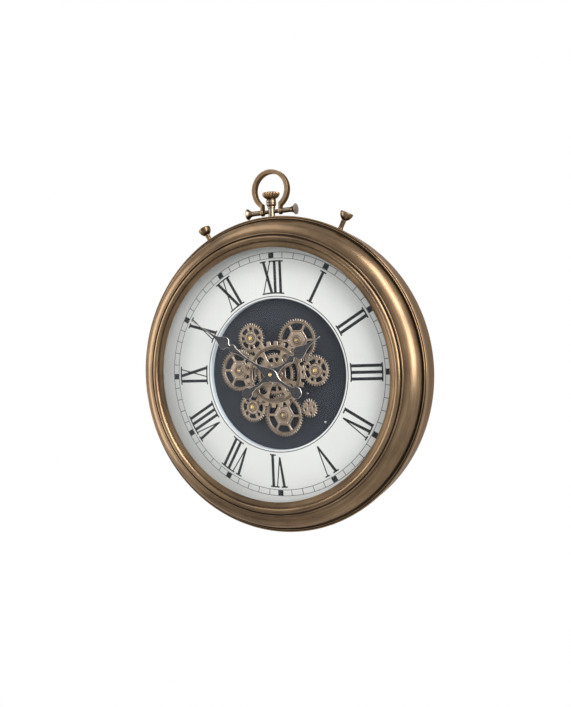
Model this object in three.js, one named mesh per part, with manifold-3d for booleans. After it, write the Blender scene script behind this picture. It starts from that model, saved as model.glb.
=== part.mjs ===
// A round wall clock shaped like a pocket watch, with a wheel train open to view.
// All sizes are millimetres. The model is drawn facing the reader: x to the right, y up, z out of
// the dial, with the dial's printed face at z = 0 and the hands' axis at x = y = 0. The last lines
// turn it to the shared frame: +Z up, front facing -Y, the wall at y = 0.
import * as THREE from 'three';
import { mergeVertices } from 'three/addons/utils/BufferGeometryUtils.js';
import Module from 'manifold-3d';

const wasm = await Module();
wasm.setup();

// Clearances
const GAP = 0.3;
const RUNNING_GAP = 0.35;
// How far two solids that are joined into one enter each other
const KEY = 0.2;

// Case and rim, outside in
const RIM_RADIUS = 300;
const EDGE_BEAD = 6.4;
const EDGE_GROOVE = 1.7;
const MOULDING_WIDTH = 26;
const MOULDING_RISE = 25;
const FILLET_WIDTH = 3.6;
const FILLET_GROOVE = 1.3;
const BEAD_WIDTH = 11;
const COVE_WIDTH = 10.7;
const RIM_FOOT = 6.8;
const RIM_SHELL = 3.4;
const RIM_SKIRT = 4;
const CASE_DEPTH = 50;
const DRUM_WALL = 2.5;
const FLANGE_WIDTH = 18;
const FLANGE_THICKNESS = 3;

// Glass
const GLASS_THICKNESS = 2.5;
const GLASS_LAP = 6.7;
const RETAINER_WIDTH = 5.5;
const RETAINER_THICKNESS = 2.4;

// Dial boards
const WELL_RADIUS = 145;
const CHAPTER_THICKNESS = 11.4;
const DISC_THICKNESS = 3;

// Wheel train
const MODULE = 1.65625;
const SUN_TEETH = 48;
const WHEEL_TEETH = 48;
const IDLER_TEETH = 34;
const PINION_TEETH = 20;
const ADDENDUM = 1.2;
const DEDENDUM = 2.9;
const TIP_LAND = 0.9;
const TRAIN_LIFT = 10;
const GEAR_THICKNESS = 3;
const PLATE_RISE = 1.3;
const BOSS_RISE = 1.5;
const BOSS_RADIUS = 8.7;
const POST_COLLAR = 6;
const WHEEL_PIN = 2.7;
const IDLER_PIN = 4;
const PINION_PIN = 3.4;
const PIN_PROUD = 1.6;
const WINDOW_CORNER = 2;
const SPOKE_WIDTH = 4;
const SUN_LOOK = 34;

// Front wheel and its hub
const FRONT_TEETH = 24;
const FRONT_RADIUS = 63.6;
const FRONT_TOOTH_HEIGHT = 7.5;
const FRONT_TOOTH_WIDTH = 8.2;
const FRONT_THICKNESS = 2;
const FRONT_CLEARANCE = 0.5;
const FRONT_RING = 52.6;
const FRONT_RING_WIDTH = 2.4;
const FRONT_RING_RISE = 1;
const HUB_LOBES = 8;
const HUB_RADIUS = 21.5;
const HUB_LOBE_DEPTH = 3;
const HUB_STEM = 15;
const HUB_STEM_RISE = 5;
const HUB_PLATE = 3;
const HUB_BOSS = 9;
const HUB_BOSS_RISE = 2;

// Arbors and hands
const BUSH_RADIUS = 5;
const BUSH_BORE = 3.3;
const BUSH_FLANGE = 9.5;
const BUSH_FLANGE_THICKNESS = 1.5;
const HOUR_TUBE_WALL = 0.9;
const MINUTE_ARBOR = 1.75;
const HAND_THICKNESS = 1.4;
const HAND_SPACING = 1.7;
const HAND_CLEARANCE = 3.6;
const NUT_RADIUS = 3.7;
const NUT_HEIGHT = 2.3;
const HOUR_ANGLE = 56.6;
const MINUTE_ANGLE = 303;
const TAIL_REACH = 63;
const TAIL_RADIUS = 11.3;
const HUB_HALF_WIDTH = 12;

// Crown, bow and pushers
const CROWN_DEPTH = 11.4;
const BAR_HEIGHT = 15.2;
const BAR_RADIUS = 3.7;
const BAR_HALF_LENGTH = 22.2;
const SHANK_RADIUS = 4.8;
const SHANK_LENGTH = 17.8;
const KNOB_RADIUS = 10.6;
const KNOB_LENGTH = 13.5;
const NECK_RADIUS = 6.3;
const NECK_HEIGHT = 24.3;
const COLLAR_RADIUS = 9.5;
const COLLAR_HEIGHT = 15;
const CROWN_RADIUS = 17;
const CROWN_HEIGHT = 12;
const CROWN_FLUTES = 18;
const FLUTE_DEPTH = 0.09;
const BOW_RADIUS = 35;
const BOW_WIDTH = 7.5;
const BOW_THICKNESS = 12;
const BOW_RISE = 41.5;
const LUG_THICKNESS = 4.6;
const LUG_INSIDE = 17;
const LUG_RADIUS = 7;
const PUSHER_ANGLES = [-27.6, 28];
const PUSHER_STEM = 4.4;
const PUSHER_STEM_LENGTH = 20.5;
const PUSHER_FLARE = 7;
const PUSHER_CAP = 12.3;
const PUSHER_CAP_HEIGHT = 15;

// Back: cover, fixings, movement and train drive
const COVER_THICKNESS = 2.5;
const SERVICE_WIDTH = 120;
const SERVICE_TOP = 50;
const SERVICE_BOTTOM = -130;
const STANDOFF_CIRCLE = 225;
const STANDOFF_RADIUS = 5;
const SCREW_HEAD = 4;
const SCREW_HEAD_HEIGHT = 1.8;
const MOVEMENT_SIZE = 56;
const MOVEMENT_DEPTH = 16;
const KNOB_STEM = 2;
const SET_KNOB_RADIUS = 7;
const SET_KNOB_HEIGHT = 4;
const CELL_RADIUS = 7.1;
const CELL_LENGTH = 50.5;
const CELL_WALL = 1.6;
const DRIVE_WIDTH = 74;
const DRIVE_HEIGHT = 52;
const DRIVE_DEPTH = 18;
const SWITCH_LENGTH = 6;
const SWITCH_WIDTH = 4;
const SWITCH_TRAVEL = 4;
const SWITCH_PROUD = 2;
const HANGER_WIDTH = 64;
const HANGER_HEIGHT = 40;
const HANGER_THICKNESS = 1.6;
const HANGER_DROP = 34;
const KEYHOLE_RADIUS = 6;
const KEYHOLE_SLOT = 2.6;
const KEYHOLE_RISE = 12;
const NAIL_ROOM = 7.5;

// Facets
const ROUND = 36;
const SMALL_ROUND = 12;
const PIN_ROUND = 10;

// Heights that follow from the sizes above
const DISC_Z = -CHAPTER_THICKNESS;
const DISC_BACK = DISC_Z - DISC_THICKNESS;
const WALL_Z = -CASE_DEPTH;
const COVER_Z = WALL_Z + FLANGE_THICKNESS;
const COVER_FRONT = COVER_Z + COVER_THICKNESS;
const GEAR_Z = DISC_Z + TRAIN_LIFT;
const GEAR_TOP = GEAR_Z + GEAR_THICKNESS;
const FRONT_Z = GEAR_TOP + PLATE_RISE + FRONT_CLEARANCE;
const FRONT_TOP = FRONT_Z + FRONT_THICKNESS;
const HUB_TOP = FRONT_TOP + HUB_STEM_RISE + HUB_PLATE + HUB_BOSS_RISE;
const BUSH_TOP = FRONT_TOP + HUB_STEM_RISE;
const HOUR_Z = HUB_TOP + HAND_CLEARANCE;
const MINUTE_Z = HOUR_Z + HAND_THICKNESS + HAND_SPACING;
const NUT_Z = MINUTE_Z + HAND_THICKNESS;
const GLASS_Z = NUT_Z + NUT_HEIGHT + GAP;
const GLASS_TOP = GLASS_Z + GLASS_THICKNESS;

// Radii that follow
const DRUM_RADIUS = RIM_RADIUS - RIM_SKIRT;
const DRUM_INSIDE = DRUM_RADIUS - DRUM_WALL;
const FLANGE_INSIDE = DRUM_RADIUS - FLANGE_WIDTH;
const BOARD_RADIUS = DRUM_INSIDE - GAP;
const MOULDING_OUTER = RIM_RADIUS - EDGE_BEAD - EDGE_GROOVE;
const MOULDING_INNER = MOULDING_OUTER - MOULDING_WIDTH;
const FILLET_INNER = MOULDING_INNER - FILLET_WIDTH;
const BEAD_OUTER = FILLET_INNER - FILLET_GROOVE;
const BEAD_INNER = BEAD_OUTER - BEAD_WIDTH;
const OPENING_RADIUS = BEAD_INNER - COVE_WIDTH;
const GLASS_RADIUS = OPENING_RADIUS + GLASS_LAP;

// Crown line, measured along y from the drum's top
const NECK_Y = DRUM_RADIUS + GAP;
const BAR_Y = DRUM_RADIUS + BAR_HEIGHT;
const COLLAR_Y = NECK_Y + NECK_HEIGHT;
const CROWN_Y = COLLAR_Y + COLLAR_HEIGHT;
const ORIGIN_Y = DRUM_RADIUS - FLANGE_WIDTH / 2;

const DEG = Math.PI / 180;

// Shapes and solids

function polar(radius, angle) {
  return new THREE.Vector2(radius * Math.cos(angle), radius * Math.sin(angle));
}

function circle(radius, count, x = 0, y = 0, start = 0) {
  const points = [];
  for (let i = 0; i < count; i += 1) {
    const p = polar(radius, start + (i * 2 * Math.PI) / count);
    points.push(new THREE.Vector2(x + p.x, y + p.y));
  }
  return points;
}

function rectangle(x0, y0, x1, y1) {
  return [[x0, y0], [x1, y0], [x1, y1], [x0, y1]].map(([x, y]) => new THREE.Vector2(x, y));
}

// A window bounded by an outer arc, two spokes and a straight foot, its outer corners cut
function sector(inner, outer, middle, halfSpan, steps = 3, footSpan = halfSpan) {
  const points = [];
  const trim = WINDOW_CORNER / outer;
  points.push(polar(outer - WINDOW_CORNER, middle - halfSpan));
  for (let i = 0; i <= steps; i += 1) {
    const t = -1 + (2 * i) / steps;
    points.push(polar(outer, middle + t * (halfSpan - trim)));
  }
  points.push(polar(outer - WINDOW_CORNER, middle + halfSpan));
  points.push(polar(inner, middle + footSpan));
  points.push(polar(inner, middle - footSpan));
  return points;
}

function plate(outline, holes, z0, z1) {
  const shape = new THREE.Shape(outline);
  for (const hole of holes) {
    shape.holes.push(new THREE.Path(hole));
  }
  const geometry = new THREE.ExtrudeGeometry(shape, { depth: z1 - z0, bevelEnabled: false });
  return geometry.translate(0, 0, z0);
}

// Turns a profile of [radius, height] about x, y or z. A profile off the axis is closed.
function turned(profile, axis = 'z', count = ROUND) {
  const points = profile.map(([radius, height]) => new THREE.Vector2(radius, height));
  if (profile[0][0] > 0) {
    points.push(points[0].clone());
  }
  const geometry = new THREE.LatheGeometry(points, count);
  if (axis === 'z') {
    geometry.rotateX(Math.PI / 2);
  }
  if (axis === 'x') {
    geometry.rotateZ(-Math.PI / 2);
  }
  return geometry;
}

function box(x0, x1, y0, y1, z0, z1) {
  const geometry = new THREE.BoxGeometry(x1 - x0, y1 - y0, z1 - z0);
  return geometry.translate((x0 + x1) / 2, (y0 + y1) / 2, (z0 + z1) / 2);
}

function tube(inner, outer, z0, z1, count = SMALL_ROUND) {
  return turned([[inner, z0], [outer, z0], [outer, z1], [inner, z1]], 'z', count);
}

function rod(radius, z0, z1, count = SMALL_ROUND) {
  return turned([[0, z0], [radius, z0], [radius, z1], [0, z1]], 'z', count);
}

// Positions and triangles only, welded, with no triangle of zero area
function weld(geometry) {
  const bare = new THREE.BufferGeometry();
  bare.setAttribute('position', geometry.getAttribute('position').clone());
  if (geometry.index) {
    bare.setIndex(geometry.index.clone());
  }
  const merged = mergeVertices(bare, 1e-4);
  const index = merged.index.array;
  const kept = [];
  for (let i = 0; i < index.length; i += 3) {
    const [a, b, c] = [index[i], index[i + 1], index[i + 2]];
    if (a !== b && b !== c && c !== a) {
      kept.push(a, b, c);
    }
  }
  merged.setIndex(kept);
  return merged;
}

function solid(geometry) {
  const welded = weld(geometry);
  return new wasm.Manifold(new wasm.Mesh({
    numProp: 3,
    vertProperties: new Float32Array(welded.getAttribute('position').array),
    triVerts: new Uint32Array(welded.index.array),
  }));
}

function surface(manifold) {
  const mesh = manifold.getMesh();
  const geometry = new THREE.BufferGeometry();
  geometry.setAttribute('position', new THREE.BufferAttribute(mesh.vertProperties, 3));
  geometry.setIndex(new THREE.BufferAttribute(mesh.triVerts, 1));
  return geometry;
}

function join(first, ...others) {
  let result = solid(first);
  for (const other of others) {
    result = result.add(solid(other));
  }
  return surface(result);
}

function cut(first, ...others) {
  let result = solid(first);
  for (const other of others) {
    result = result.subtract(solid(other));
  }
  return surface(result);
}

// Joins equal rings of points into one closed skin, with flat ends
function loft(rings) {
  const count = rings[0].length;
  const positions = rings.flat().flatMap((p) => [p.x, p.y, p.z]);
  const index = [];
  for (let i = 0; i + 1 < rings.length; i += 1) {
    for (let j = 0; j < count; j += 1) {
      const a = i * count + j;
      const b = i * count + ((j + 1) % count);
      index.push(a, b, a + count, b, b + count, a + count);
    }
  }
  for (const [ring, order] of [[0, -1], [rings.length - 1, 1]]) {
    const middle = new THREE.Vector3();
    rings[ring].forEach((p) => middle.addScaledVector(p, 1 / count));
    const centre = positions.length / 3;
    positions.push(middle.x, middle.y, middle.z);
    for (let j = 0; j < count; j += 1) {
      const a = ring * count + j;
      const b = ring * count + ((j + 1) % count);
      index.push(...(order > 0 ? [a, b, centre] : [b, a, centre]));
    }
  }
  const geometry = new THREE.BufferGeometry();
  geometry.setAttribute('position', new THREE.Float32BufferAttribute(positions, 3));
  geometry.setIndex(volume(positions, index) < 0 ? index.reverse() : index);
  return geometry;
}

function volume(positions, index) {
  let sum = 0;
  const at = (k) => new THREE.Vector3().fromArray(positions, 3 * k);
  for (let i = 0; i < index.length; i += 3) {
    sum += at(index[i]).dot(at(index[i + 1]).cross(at(index[i + 2])));
  }
  return sum / 6;
}

// Finishes

const finishes = {
  bronze: { color: 0x8a7350, roughness: 0.42, metalness: 0.85 },
  gear: { color: 0xa58a70, roughness: 0.6, metalness: 0.5 },
  brass: { color: 0xc9a75c, roughness: 0.3, metalness: 0.9 },
  charcoal: { color: 0x40434a, roughness: 0.6, metalness: 0.1 },
  dial: { color: 0xdfe3e1, roughness: 0.6, metalness: 0 },
  glass: { color: 0xf2f8fa, roughness: 0.05, metalness: 0 },
  board: { color: 0x6b4f38, roughness: 0.85, metalness: 0 },
  plastic: { color: 0x1d1e20, roughness: 0.6, metalness: 0 },
  steel: { color: 0xb9bcc0, roughness: 0.35, metalness: 1 },
  cell: { color: 0x8c8f93, roughness: 0.4, metalness: 0.4 },
};

const clock = new THREE.Group();
clock.name = 'pocket_watch_wall_clock';

function add(name, geometry, finish) {
  const mesh = new THREE.Mesh(weld(geometry), new THREE.MeshStandardMaterial(finishes[finish]));
  mesh.geometry.computeVertexNormals();
  mesh.name = name;
  clock.add(mesh);
  return mesh;
}

// Case

// The rim's moulded section: edge bead, groove, broad ovolo, fillet, groove, round bead, cove.
// Its inside is hollow, so that the dial runs on under the moulding.
function rimProfile() {
  const profile = [[RIM_RADIUS, -1], [RIM_RADIUS, RIM_FOOT - 1]];
  profile.push([RIM_RADIUS - EDGE_BEAD * 0.45, RIM_FOOT + 1.6]);
  profile.push([RIM_RADIUS - EDGE_BEAD, RIM_FOOT], [MOULDING_OUTER, RIM_FOOT]);
  for (const t of [20, 45, 68, 90]) {
    const along = MOULDING_INNER + MOULDING_WIDTH * Math.cos(t * DEG);
    profile.push([along, RIM_FOOT + MOULDING_RISE * Math.sin(t * DEG)]);
  }
  const crest = RIM_FOOT + MOULDING_RISE;
  profile.push([MOULDING_INNER - FILLET_WIDTH * 0.5, crest + 2.2]);
  profile.push([FILLET_INNER, crest - 0.6], [BEAD_OUTER, crest - 0.6]);
  for (const t of [40, 90, 140]) {
    const along = BEAD_INNER + (BEAD_WIDTH / 2) * (1 + Math.cos(t * DEG));
    profile.push([along, crest + (BEAD_WIDTH / 2) * Math.sin(t * DEG)]);
  }
  profile.push([BEAD_INNER, crest - 0.6]);
  profile.push([OPENING_RADIUS + COVE_WIDTH * 0.2, crest - 1.2], [OPENING_RADIUS, GLASS_TOP]);
  const hollow = crest - RIM_SHELL - 0.6;
  const seat = GLASS_Z - RETAINER_THICKNESS - GAP;
  profile.push([GLASS_RADIUS + GAP, GLASS_TOP], [GLASS_RADIUS + GAP, seat]);
  profile.push([MOULDING_INNER, hollow]);
  profile.push([MOULDING_OUTER - RIM_SHELL, 0], [DRUM_INSIDE - GAP, 0]);
  profile.push([DRUM_INSIDE - GAP, RIM_SHELL], [DRUM_RADIUS + GAP, RIM_SHELL]);
  profile.push([DRUM_RADIUS + GAP, -1]);
  return profile;
}

function addCase() {
  add('case_drum', tube(DRUM_INSIDE, DRUM_RADIUS, COVER_Z, RIM_SHELL - GAP, ROUND), 'bronze');
  add('rear_flange', tube(FLANGE_INSIDE, DRUM_RADIUS, WALL_Z, COVER_Z, ROUND), 'bronze');
  add('bezel', turned(rimProfile()), 'bronze');
  add('glass', rod(GLASS_RADIUS, GLASS_Z, GLASS_TOP, ROUND), 'glass');
  const outer = GLASS_RADIUS;
  const top = GLASS_Z;
  add('glass_retainer', tube(outer - RETAINER_WIDTH, outer, top - RETAINER_THICKNESS, top, ROUND / 2), 'plastic');
  add('chapter_ring', tube(WELL_RADIUS, BOARD_RADIUS, DISC_Z + GAP, 0, ROUND), 'dial');
}

// Every wheel of the train: where it stands, how it is toothed and what turns it

function direction(angle) {
  return polar(1, angle * DEG);
}

// Puts a follower in mesh: its space meets the driver's tooth on the line of centres
function follow(driver, name, teeth, angle, look) {
  const reach = ((driver.teeth + teeth) * MODULE) / 2;
  const line = direction(angle);
  const share = (((angle * DEG - driver.phase) * driver.teeth) / (2 * Math.PI)) % 1;
  return {
    name,
    teeth,
    look,
    x: driver.x + reach * line.x,
    y: driver.y + reach * line.y,
    phase: (angle + 180) * DEG - ((0.5 - share) * 2 * Math.PI) / teeth,
  };
}

function train() {
  const sun = { teeth: SUN_TEETH, x: 0, y: 0, phase: 0.02, look: SUN_LOOK };
  const left = follow(sun, 'left', WHEEL_TEETH, 173.4, -2);
  const upperRight = follow(sun, 'upper_right', WHEEL_TEETH, 52.4, 0);
  const lower = follow(sun, 'lower', WHEEL_TEETH, -79.9, -2);
  const idlers = [
    follow(left, 'upper_left', IDLER_TEETH, 65, 0),
    follow(upperRight, 'right', IDLER_TEETH, -58.4, 64.5),
    follow(lower, 'lower_left', IDLER_TEETH, 166.6, 40),
  ];
  const pinion = follow(lower, 'lower_right', PINION_TEETH, 13.7, 15);
  return { sun, wheels: [left, upperRight, lower], idlers, pinion };
}

// Pointed teeth with a narrow land, wide at the root, as stamped wheels have
function toothed(teeth, phase) {
  const pitchRadius = (teeth * MODULE) / 2;
  const tip = pitchRadius + ADDENDUM;
  const half = TIP_LAND / 2 / tip;
  const points = [];
  for (let i = 0; i < teeth; i += 1) {
    const centre = phase + (i * 2 * Math.PI) / teeth;
    points.push(polar(pitchRadius - DEDENDUM, centre - Math.PI / teeth));
    points.push(polar(tip, centre - half));
    points.push(polar(tip, centre + half));
  }
  return points;
}

function rootRadius(teeth) {
  return (teeth * MODULE) / 2 - DEDENDUM;
}

function windowRim(wheel) {
  return rootRadius(wheel.teeth) - 4.6;
}

function windowHub(wheel) {
  return windowRim(wheel) * 0.645;
}

// A toothed disc with a bore and six windows between spokes of one width
function discGeometry(wheel, hole) {
  const [hub, rim] = [windowHub(wheel), windowRim(wheel)];
  const span = (radius) => 30 * DEG - Math.asin(SPOKE_WIDTH / 2 / radius);
  const windows = [];
  for (let i = 0; i < 6; i += 1) {
    windows.push(sector(hub, rim, (wheel.look + 30 + 60 * i) * DEG, span(rim), 2, span(hub)));
  }
  return plate(toothed(wheel.teeth, wheel.phase), [hole, ...windows], GEAR_Z, GEAR_TOP);
}

// A large wheel: its disc, and a six-sided plate pressed up round the hub
function wheelGeometry(wheel, pin) {
  const hole = circle(pin + RUNNING_GAP, PIN_ROUND);
  const body = discGeometry(wheel, hole);
  const hexagon = circle(windowHub(wheel) - 2.4, 6, 0, 0, wheel.look * DEG);
  return join(body, plate(hexagon, [hole], GEAR_TOP - KEY, GEAR_TOP + PLATE_RISE));
}

// The boss on a wheel that turns on a pin of its own
function bossGeometry(pin) {
  const hole = circle(pin + RUNNING_GAP, PIN_ROUND);
  const top = GEAR_TOP + PLATE_RISE;
  return plate(circle(BOSS_RADIUS, PIN_ROUND), [hole], top - KEY, top + BOSS_RISE);
}

// Four curved slots and four round holes by turns, and a low round hub
function idlerGeometry(idler) {
  const holes = [circle(IDLER_PIN + RUNNING_GAP, PIN_ROUND)];
  const rim = rootRadius(idler.teeth) - 3.4;
  const hub = rim * 0.66;
  const middle = (rim + hub) / 2;
  for (let i = 0; i < 4; i += 1) {
    const at = (idler.look + 90 * i) * DEG;
    const centre = polar(middle, at);
    holes.push(circle((rim - hub) / 2, 8, centre.x, centre.y, at));
    holes.push(sector(hub, rim, at + 45 * DEG, 22 * DEG, 2));
  }
  const body = plate(toothed(idler.teeth, idler.phase), holes, GEAR_Z, GEAR_TOP);
  const top = GEAR_TOP + PLATE_RISE;
  const raised = plate(circle(hub - 1.2, SMALL_ROUND), [holes[0]], GEAR_TOP - KEY, top);
  return join(body, raised);
}

function pinionGeometry(pinion) {
  const holes = [circle(PINION_PIN + RUNNING_GAP, PIN_ROUND)];
  const middle = (rootRadius(pinion.teeth) + PINION_PIN) / 2 + 0.6;
  for (let i = 0; i < 4; i += 1) {
    const centre = polar(middle, (pinion.look + 90 * i) * DEG);
    holes.push(circle(2.5, 8, centre.x, centre.y));
  }
  return plate(toothed(pinion.teeth, pinion.phase), holes, GEAR_Z, GEAR_TOP);
}

function postGeometry(pin, top) {
  const shoulder = GEAR_Z - GAP;
  return turned([
    [0, DISC_Z], [POST_COLLAR, DISC_Z], [POST_COLLAR, shoulder], [pin, shoulder],
    [pin, top - 0.8], [pin - 0.9, top], [0, top],
  ], 'z', PIN_ROUND);
}

// The driven wheel's shaft turns with it and reaches back into the train drive
function shaftGeometry(pin, top) {
  return turned([
    [0, DISC_BACK - DRIVE_DEPTH / 2], [pin, DISC_BACK - DRIVE_DEPTH / 2], [pin, DISC_Z + GAP],
    [POST_COLLAR, DISC_Z + GAP], [POST_COLLAR, GEAR_Z], [pin, GEAR_Z],
    [pin, top - 0.8], [pin - 0.9, top], [0, top],
  ], 'z', PIN_ROUND);
}

function place(geometry, at) {
  return geometry.translate(at.x, at.y, 0);
}

function addTrain() {
  const { sun, wheels, idlers, pinion } = train();
  const bossTop = GEAR_TOP + PLATE_RISE + BOSS_RISE;
  const sunBore = circle(BUSH_RADIUS + RUNNING_GAP, PIN_ROUND);
  add('sun_gear', discGeometry(sun, sunBore), 'gear');
  for (const wheel of wheels) {
    const geometry = join(wheelGeometry(wheel, WHEEL_PIN), bossGeometry(WHEEL_PIN));
    add(`gear_${wheel.name}`, place(geometry, wheel), 'gear');
    const driven = wheel.name === 'lower';
    const pin = driven ? shaftGeometry : postGeometry;
    const name = driven ? 'drive_shaft' : `post_${wheel.name}`;
    add(name, place(pin(WHEEL_PIN, bossTop + PIN_PROUD), wheel), 'brass');
  }
  for (const idler of idlers) {
    add(`gear_${idler.name}`, place(idlerGeometry(idler), idler), 'gear');
    const top = GEAR_TOP + PLATE_RISE + PIN_PROUD;
    add(`post_${idler.name}`, place(postGeometry(IDLER_PIN, top), idler), 'brass');
  }
  add('gear_lower_right', place(pinionGeometry(pinion), pinion), 'gear');
  add('post_lower_right', place(postGeometry(PINION_PIN, GEAR_TOP + 0.8), pinion), 'gear');
  return wheels[2];
}

// The coarse wheel in front of the train, with square teeth, four windows and four holes
function frontWheelGeometry() {
  const root = FRONT_RADIUS - FRONT_TOOTH_HEIGHT;
  const half = FRONT_TOOTH_WIDTH / 2;
  const outline = [];
  for (let i = 0; i < FRONT_TEETH; i += 1) {
    const at = 10.3 * DEG + (i * 2 * Math.PI) / FRONT_TEETH;
    outline.push(polar(root, at - (half + 0.8) / root), polar(FRONT_RADIUS, at - half / FRONT_RADIUS));
    outline.push(polar(FRONT_RADIUS, at + half / FRONT_RADIUS), polar(root, at + (half + 0.8) / root));
  }
  const inner = FRONT_RING - FRONT_RING_WIDTH - 2;
  const holes = [circle(BUSH_RADIUS + RUNNING_GAP, SMALL_ROUND)];
  for (let i = 0; i < 4; i += 1) {
    holes.push(sector(inner * 0.52, inner, (4 + 90 * i) * DEG, 22.5 * DEG));
    const centre = polar(inner * 0.82, (49 + 90 * i) * DEG);
    holes.push(circle(inner * 0.175, PIN_ROUND, centre.x, centre.y));
  }
  const body = plate(outline, holes, FRONT_Z, FRONT_TOP);
  const ringTop = FRONT_TOP + FRONT_RING_RISE;
  const ring = tube(FRONT_RING - FRONT_RING_WIDTH, FRONT_RING, FRONT_TOP - KEY, ringTop, 24);
  const seat = tube(BUSH_RADIUS + RUNNING_GAP, HUB_STEM, GEAR_TOP, FRONT_Z + KEY);
  return join(body, ring, seat);
}

// A lobed plate on a short stem, round the hands' arbors
function hubGeometry() {
  const lobes = [];
  for (let i = 0; i < HUB_LOBES * 3; i += 1) {
    const at = ((i - 1) * 2 * Math.PI) / (HUB_LOBES * 3);
    lobes.push(polar(i % 3 === 1 ? HUB_RADIUS - HUB_LOBE_DEPTH : HUB_RADIUS, at));
  }
  const bore = circle(BUSH_RADIUS + RUNNING_GAP, SMALL_ROUND);
  const z1 = FRONT_TOP + HUB_STEM_RISE;
  const z2 = z1 + HUB_PLATE;
  const stem = plate(circle(HUB_STEM, SMALL_ROUND), [bore], FRONT_TOP, z1);
  const flower = plate(lobes, [bore], z1 - KEY, z2);
  const boss = plate(circle(HUB_BOSS, SMALL_ROUND), [bore], z2 - KEY, z2 + HUB_BOSS_RISE);
  return join(stem, flower, boss);
}

// Hands: half widths along the hand, mirrored, with a round tail

const MINUTE_STATIONS = [
  [-48, 4.4], [-40, 3], [-24, 3], [-15.5, 6.5], [-9, HUB_HALF_WIDTH * 0.87], [0, HUB_HALF_WIDTH],
  [7.5, HUB_HALF_WIDTH * 0.87], [15, 8], [24, 5], [35, 3], [48, 1.9], [60, 2], [72, 2.9],
  [86, 4.8], [100, 7.2], [103.5, 2.2], [107, 5], [110.5, 10], [116.5, 12.4], [123, 10.6],
  [131, 6.4], [141, 3.2], [152, 1.8], [204, 0.6],
];
const HOUR_STATIONS = [
  [-48, 4.4], [-40, 3], [-24, 3], [-15.5, 6.5], [-9, HUB_HALF_WIDTH * 0.87], [0, HUB_HALF_WIDTH],
  [7.5, HUB_HALF_WIDTH * 0.87], [15, 7], [24, 3.8], [34, 2.5], [42, 3], [55.5, 6.2], [59.5, 2.2],
  [62.5, 5], [66, 10], [72.5, 12.3], [79.5, 10.2], [88, 6.2], [98, 3.4], [108, 1.7], [124.5, 0.6],
];

function handOutline(stations) {
  const edge = [];
  for (const t of [30, 65, 100, 135]) {
    edge.push([-TAIL_REACH - TAIL_RADIUS * Math.cos(t * DEG), TAIL_RADIUS * Math.sin(t * DEG)]);
  }
  edge.push(...stations);
  const right = edge.map(([along, half]) => new THREE.Vector2(half, along));
  const left = edge.map(([along, half]) => new THREE.Vector2(-half, along)).reverse();
  const heel = new THREE.Vector2(0, -TAIL_REACH - TAIL_RADIUS);
  return [heel, ...right, ...left];
}

function handGeometry(stations, bore, z, angle) {
  const geometry = plate(handOutline(stations), [circle(bore, PIN_ROUND)], z, z + HAND_THICKNESS);
  return geometry.rotateZ(-angle * DEG);
}

function addHands() {
  const hourRadius = BUSH_BORE - GAP;
  const back = movementBack() + 4;
  add('hour_hand', handGeometry(HOUR_STATIONS, hourRadius + GAP, HOUR_Z, HOUR_ANGLE), 'charcoal');
  const tubeTop = HOUR_Z + HAND_THICKNESS + HAND_SPACING / 2;
  const collar = [
    [hourRadius - HOUR_TUBE_WALL, back], [hourRadius, back], [hourRadius, HOUR_Z - 1.5],
    [hourRadius + 2, HOUR_Z - 1.5], [hourRadius + 2, HOUR_Z], [hourRadius, HOUR_Z],
    [hourRadius, tubeTop], [hourRadius - HOUR_TUBE_WALL, tubeTop],
  ];
  add('hour_tube', turned(collar, 'z', PIN_ROUND), 'brass');
  add('minute_hand', handGeometry(MINUTE_STATIONS, MINUTE_ARBOR + GAP, MINUTE_Z, MINUTE_ANGLE), 'charcoal');
  add('minute_arbor', rod(MINUTE_ARBOR, back, NUT_Z, PIN_ROUND), 'brass');
  add('hand_nut', turned([
    [0, NUT_Z], [NUT_RADIUS, NUT_Z], [NUT_RADIUS, NUT_Z + NUT_HEIGHT * 0.5],
    [NUT_RADIUS * 0.8, NUT_Z + NUT_HEIGHT * 0.9], [0, NUT_Z + NUT_HEIGHT],
  ], 'z', SMALL_ROUND), 'brass');
}

// Bush through the dial's middle, clamped between its flange and a collar

function addBush() {
  const flange = DISC_BACK - BUSH_FLANGE_THICKNESS;
  add('centre_bush', turned([
    [BUSH_BORE, flange], [BUSH_FLANGE, flange], [BUSH_FLANGE, DISC_BACK], [BUSH_RADIUS, DISC_BACK],
    [BUSH_RADIUS, BUSH_TOP], [BUSH_BORE, BUSH_TOP],
  ], 'z', SMALL_ROUND), 'brass');
  add('bush_collar', tube(BUSH_RADIUS + GAP, BUSH_FLANGE, DISC_Z, GEAR_Z - GAP), 'brass');
}

// Crown, collar, bar, bow and pushers

function stemGeometry() {
  const profile = [
    [0, NECK_Y], [NECK_RADIUS + 3.4, NECK_Y], [NECK_RADIUS, NECK_Y + 4],
    [NECK_RADIUS, COLLAR_Y - 3], [NECK_RADIUS + 1.4, COLLAR_Y - 2.4],
    [NECK_RADIUS + 1.4, COLLAR_Y], [COLLAR_RADIUS, COLLAR_Y + 3.4],
    [COLLAR_RADIUS, CROWN_Y - 2.4], [COLLAR_RADIUS - 1.2, CROWN_Y], [0, CROWN_Y],
  ];
  return cut(turned(profile, 'y', SMALL_ROUND), barHole(CROWN_RADIUS));
}

// The way of the cross bar through what it passes
function barHole(half) {
  const radius = BAR_RADIUS + GAP;
  const hole = turned([[0, -half], [radius, -half], [radius, half], [0, half]], 'x', PIN_ROUND);
  return hole.translate(0, BAR_Y, 0);
}

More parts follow.
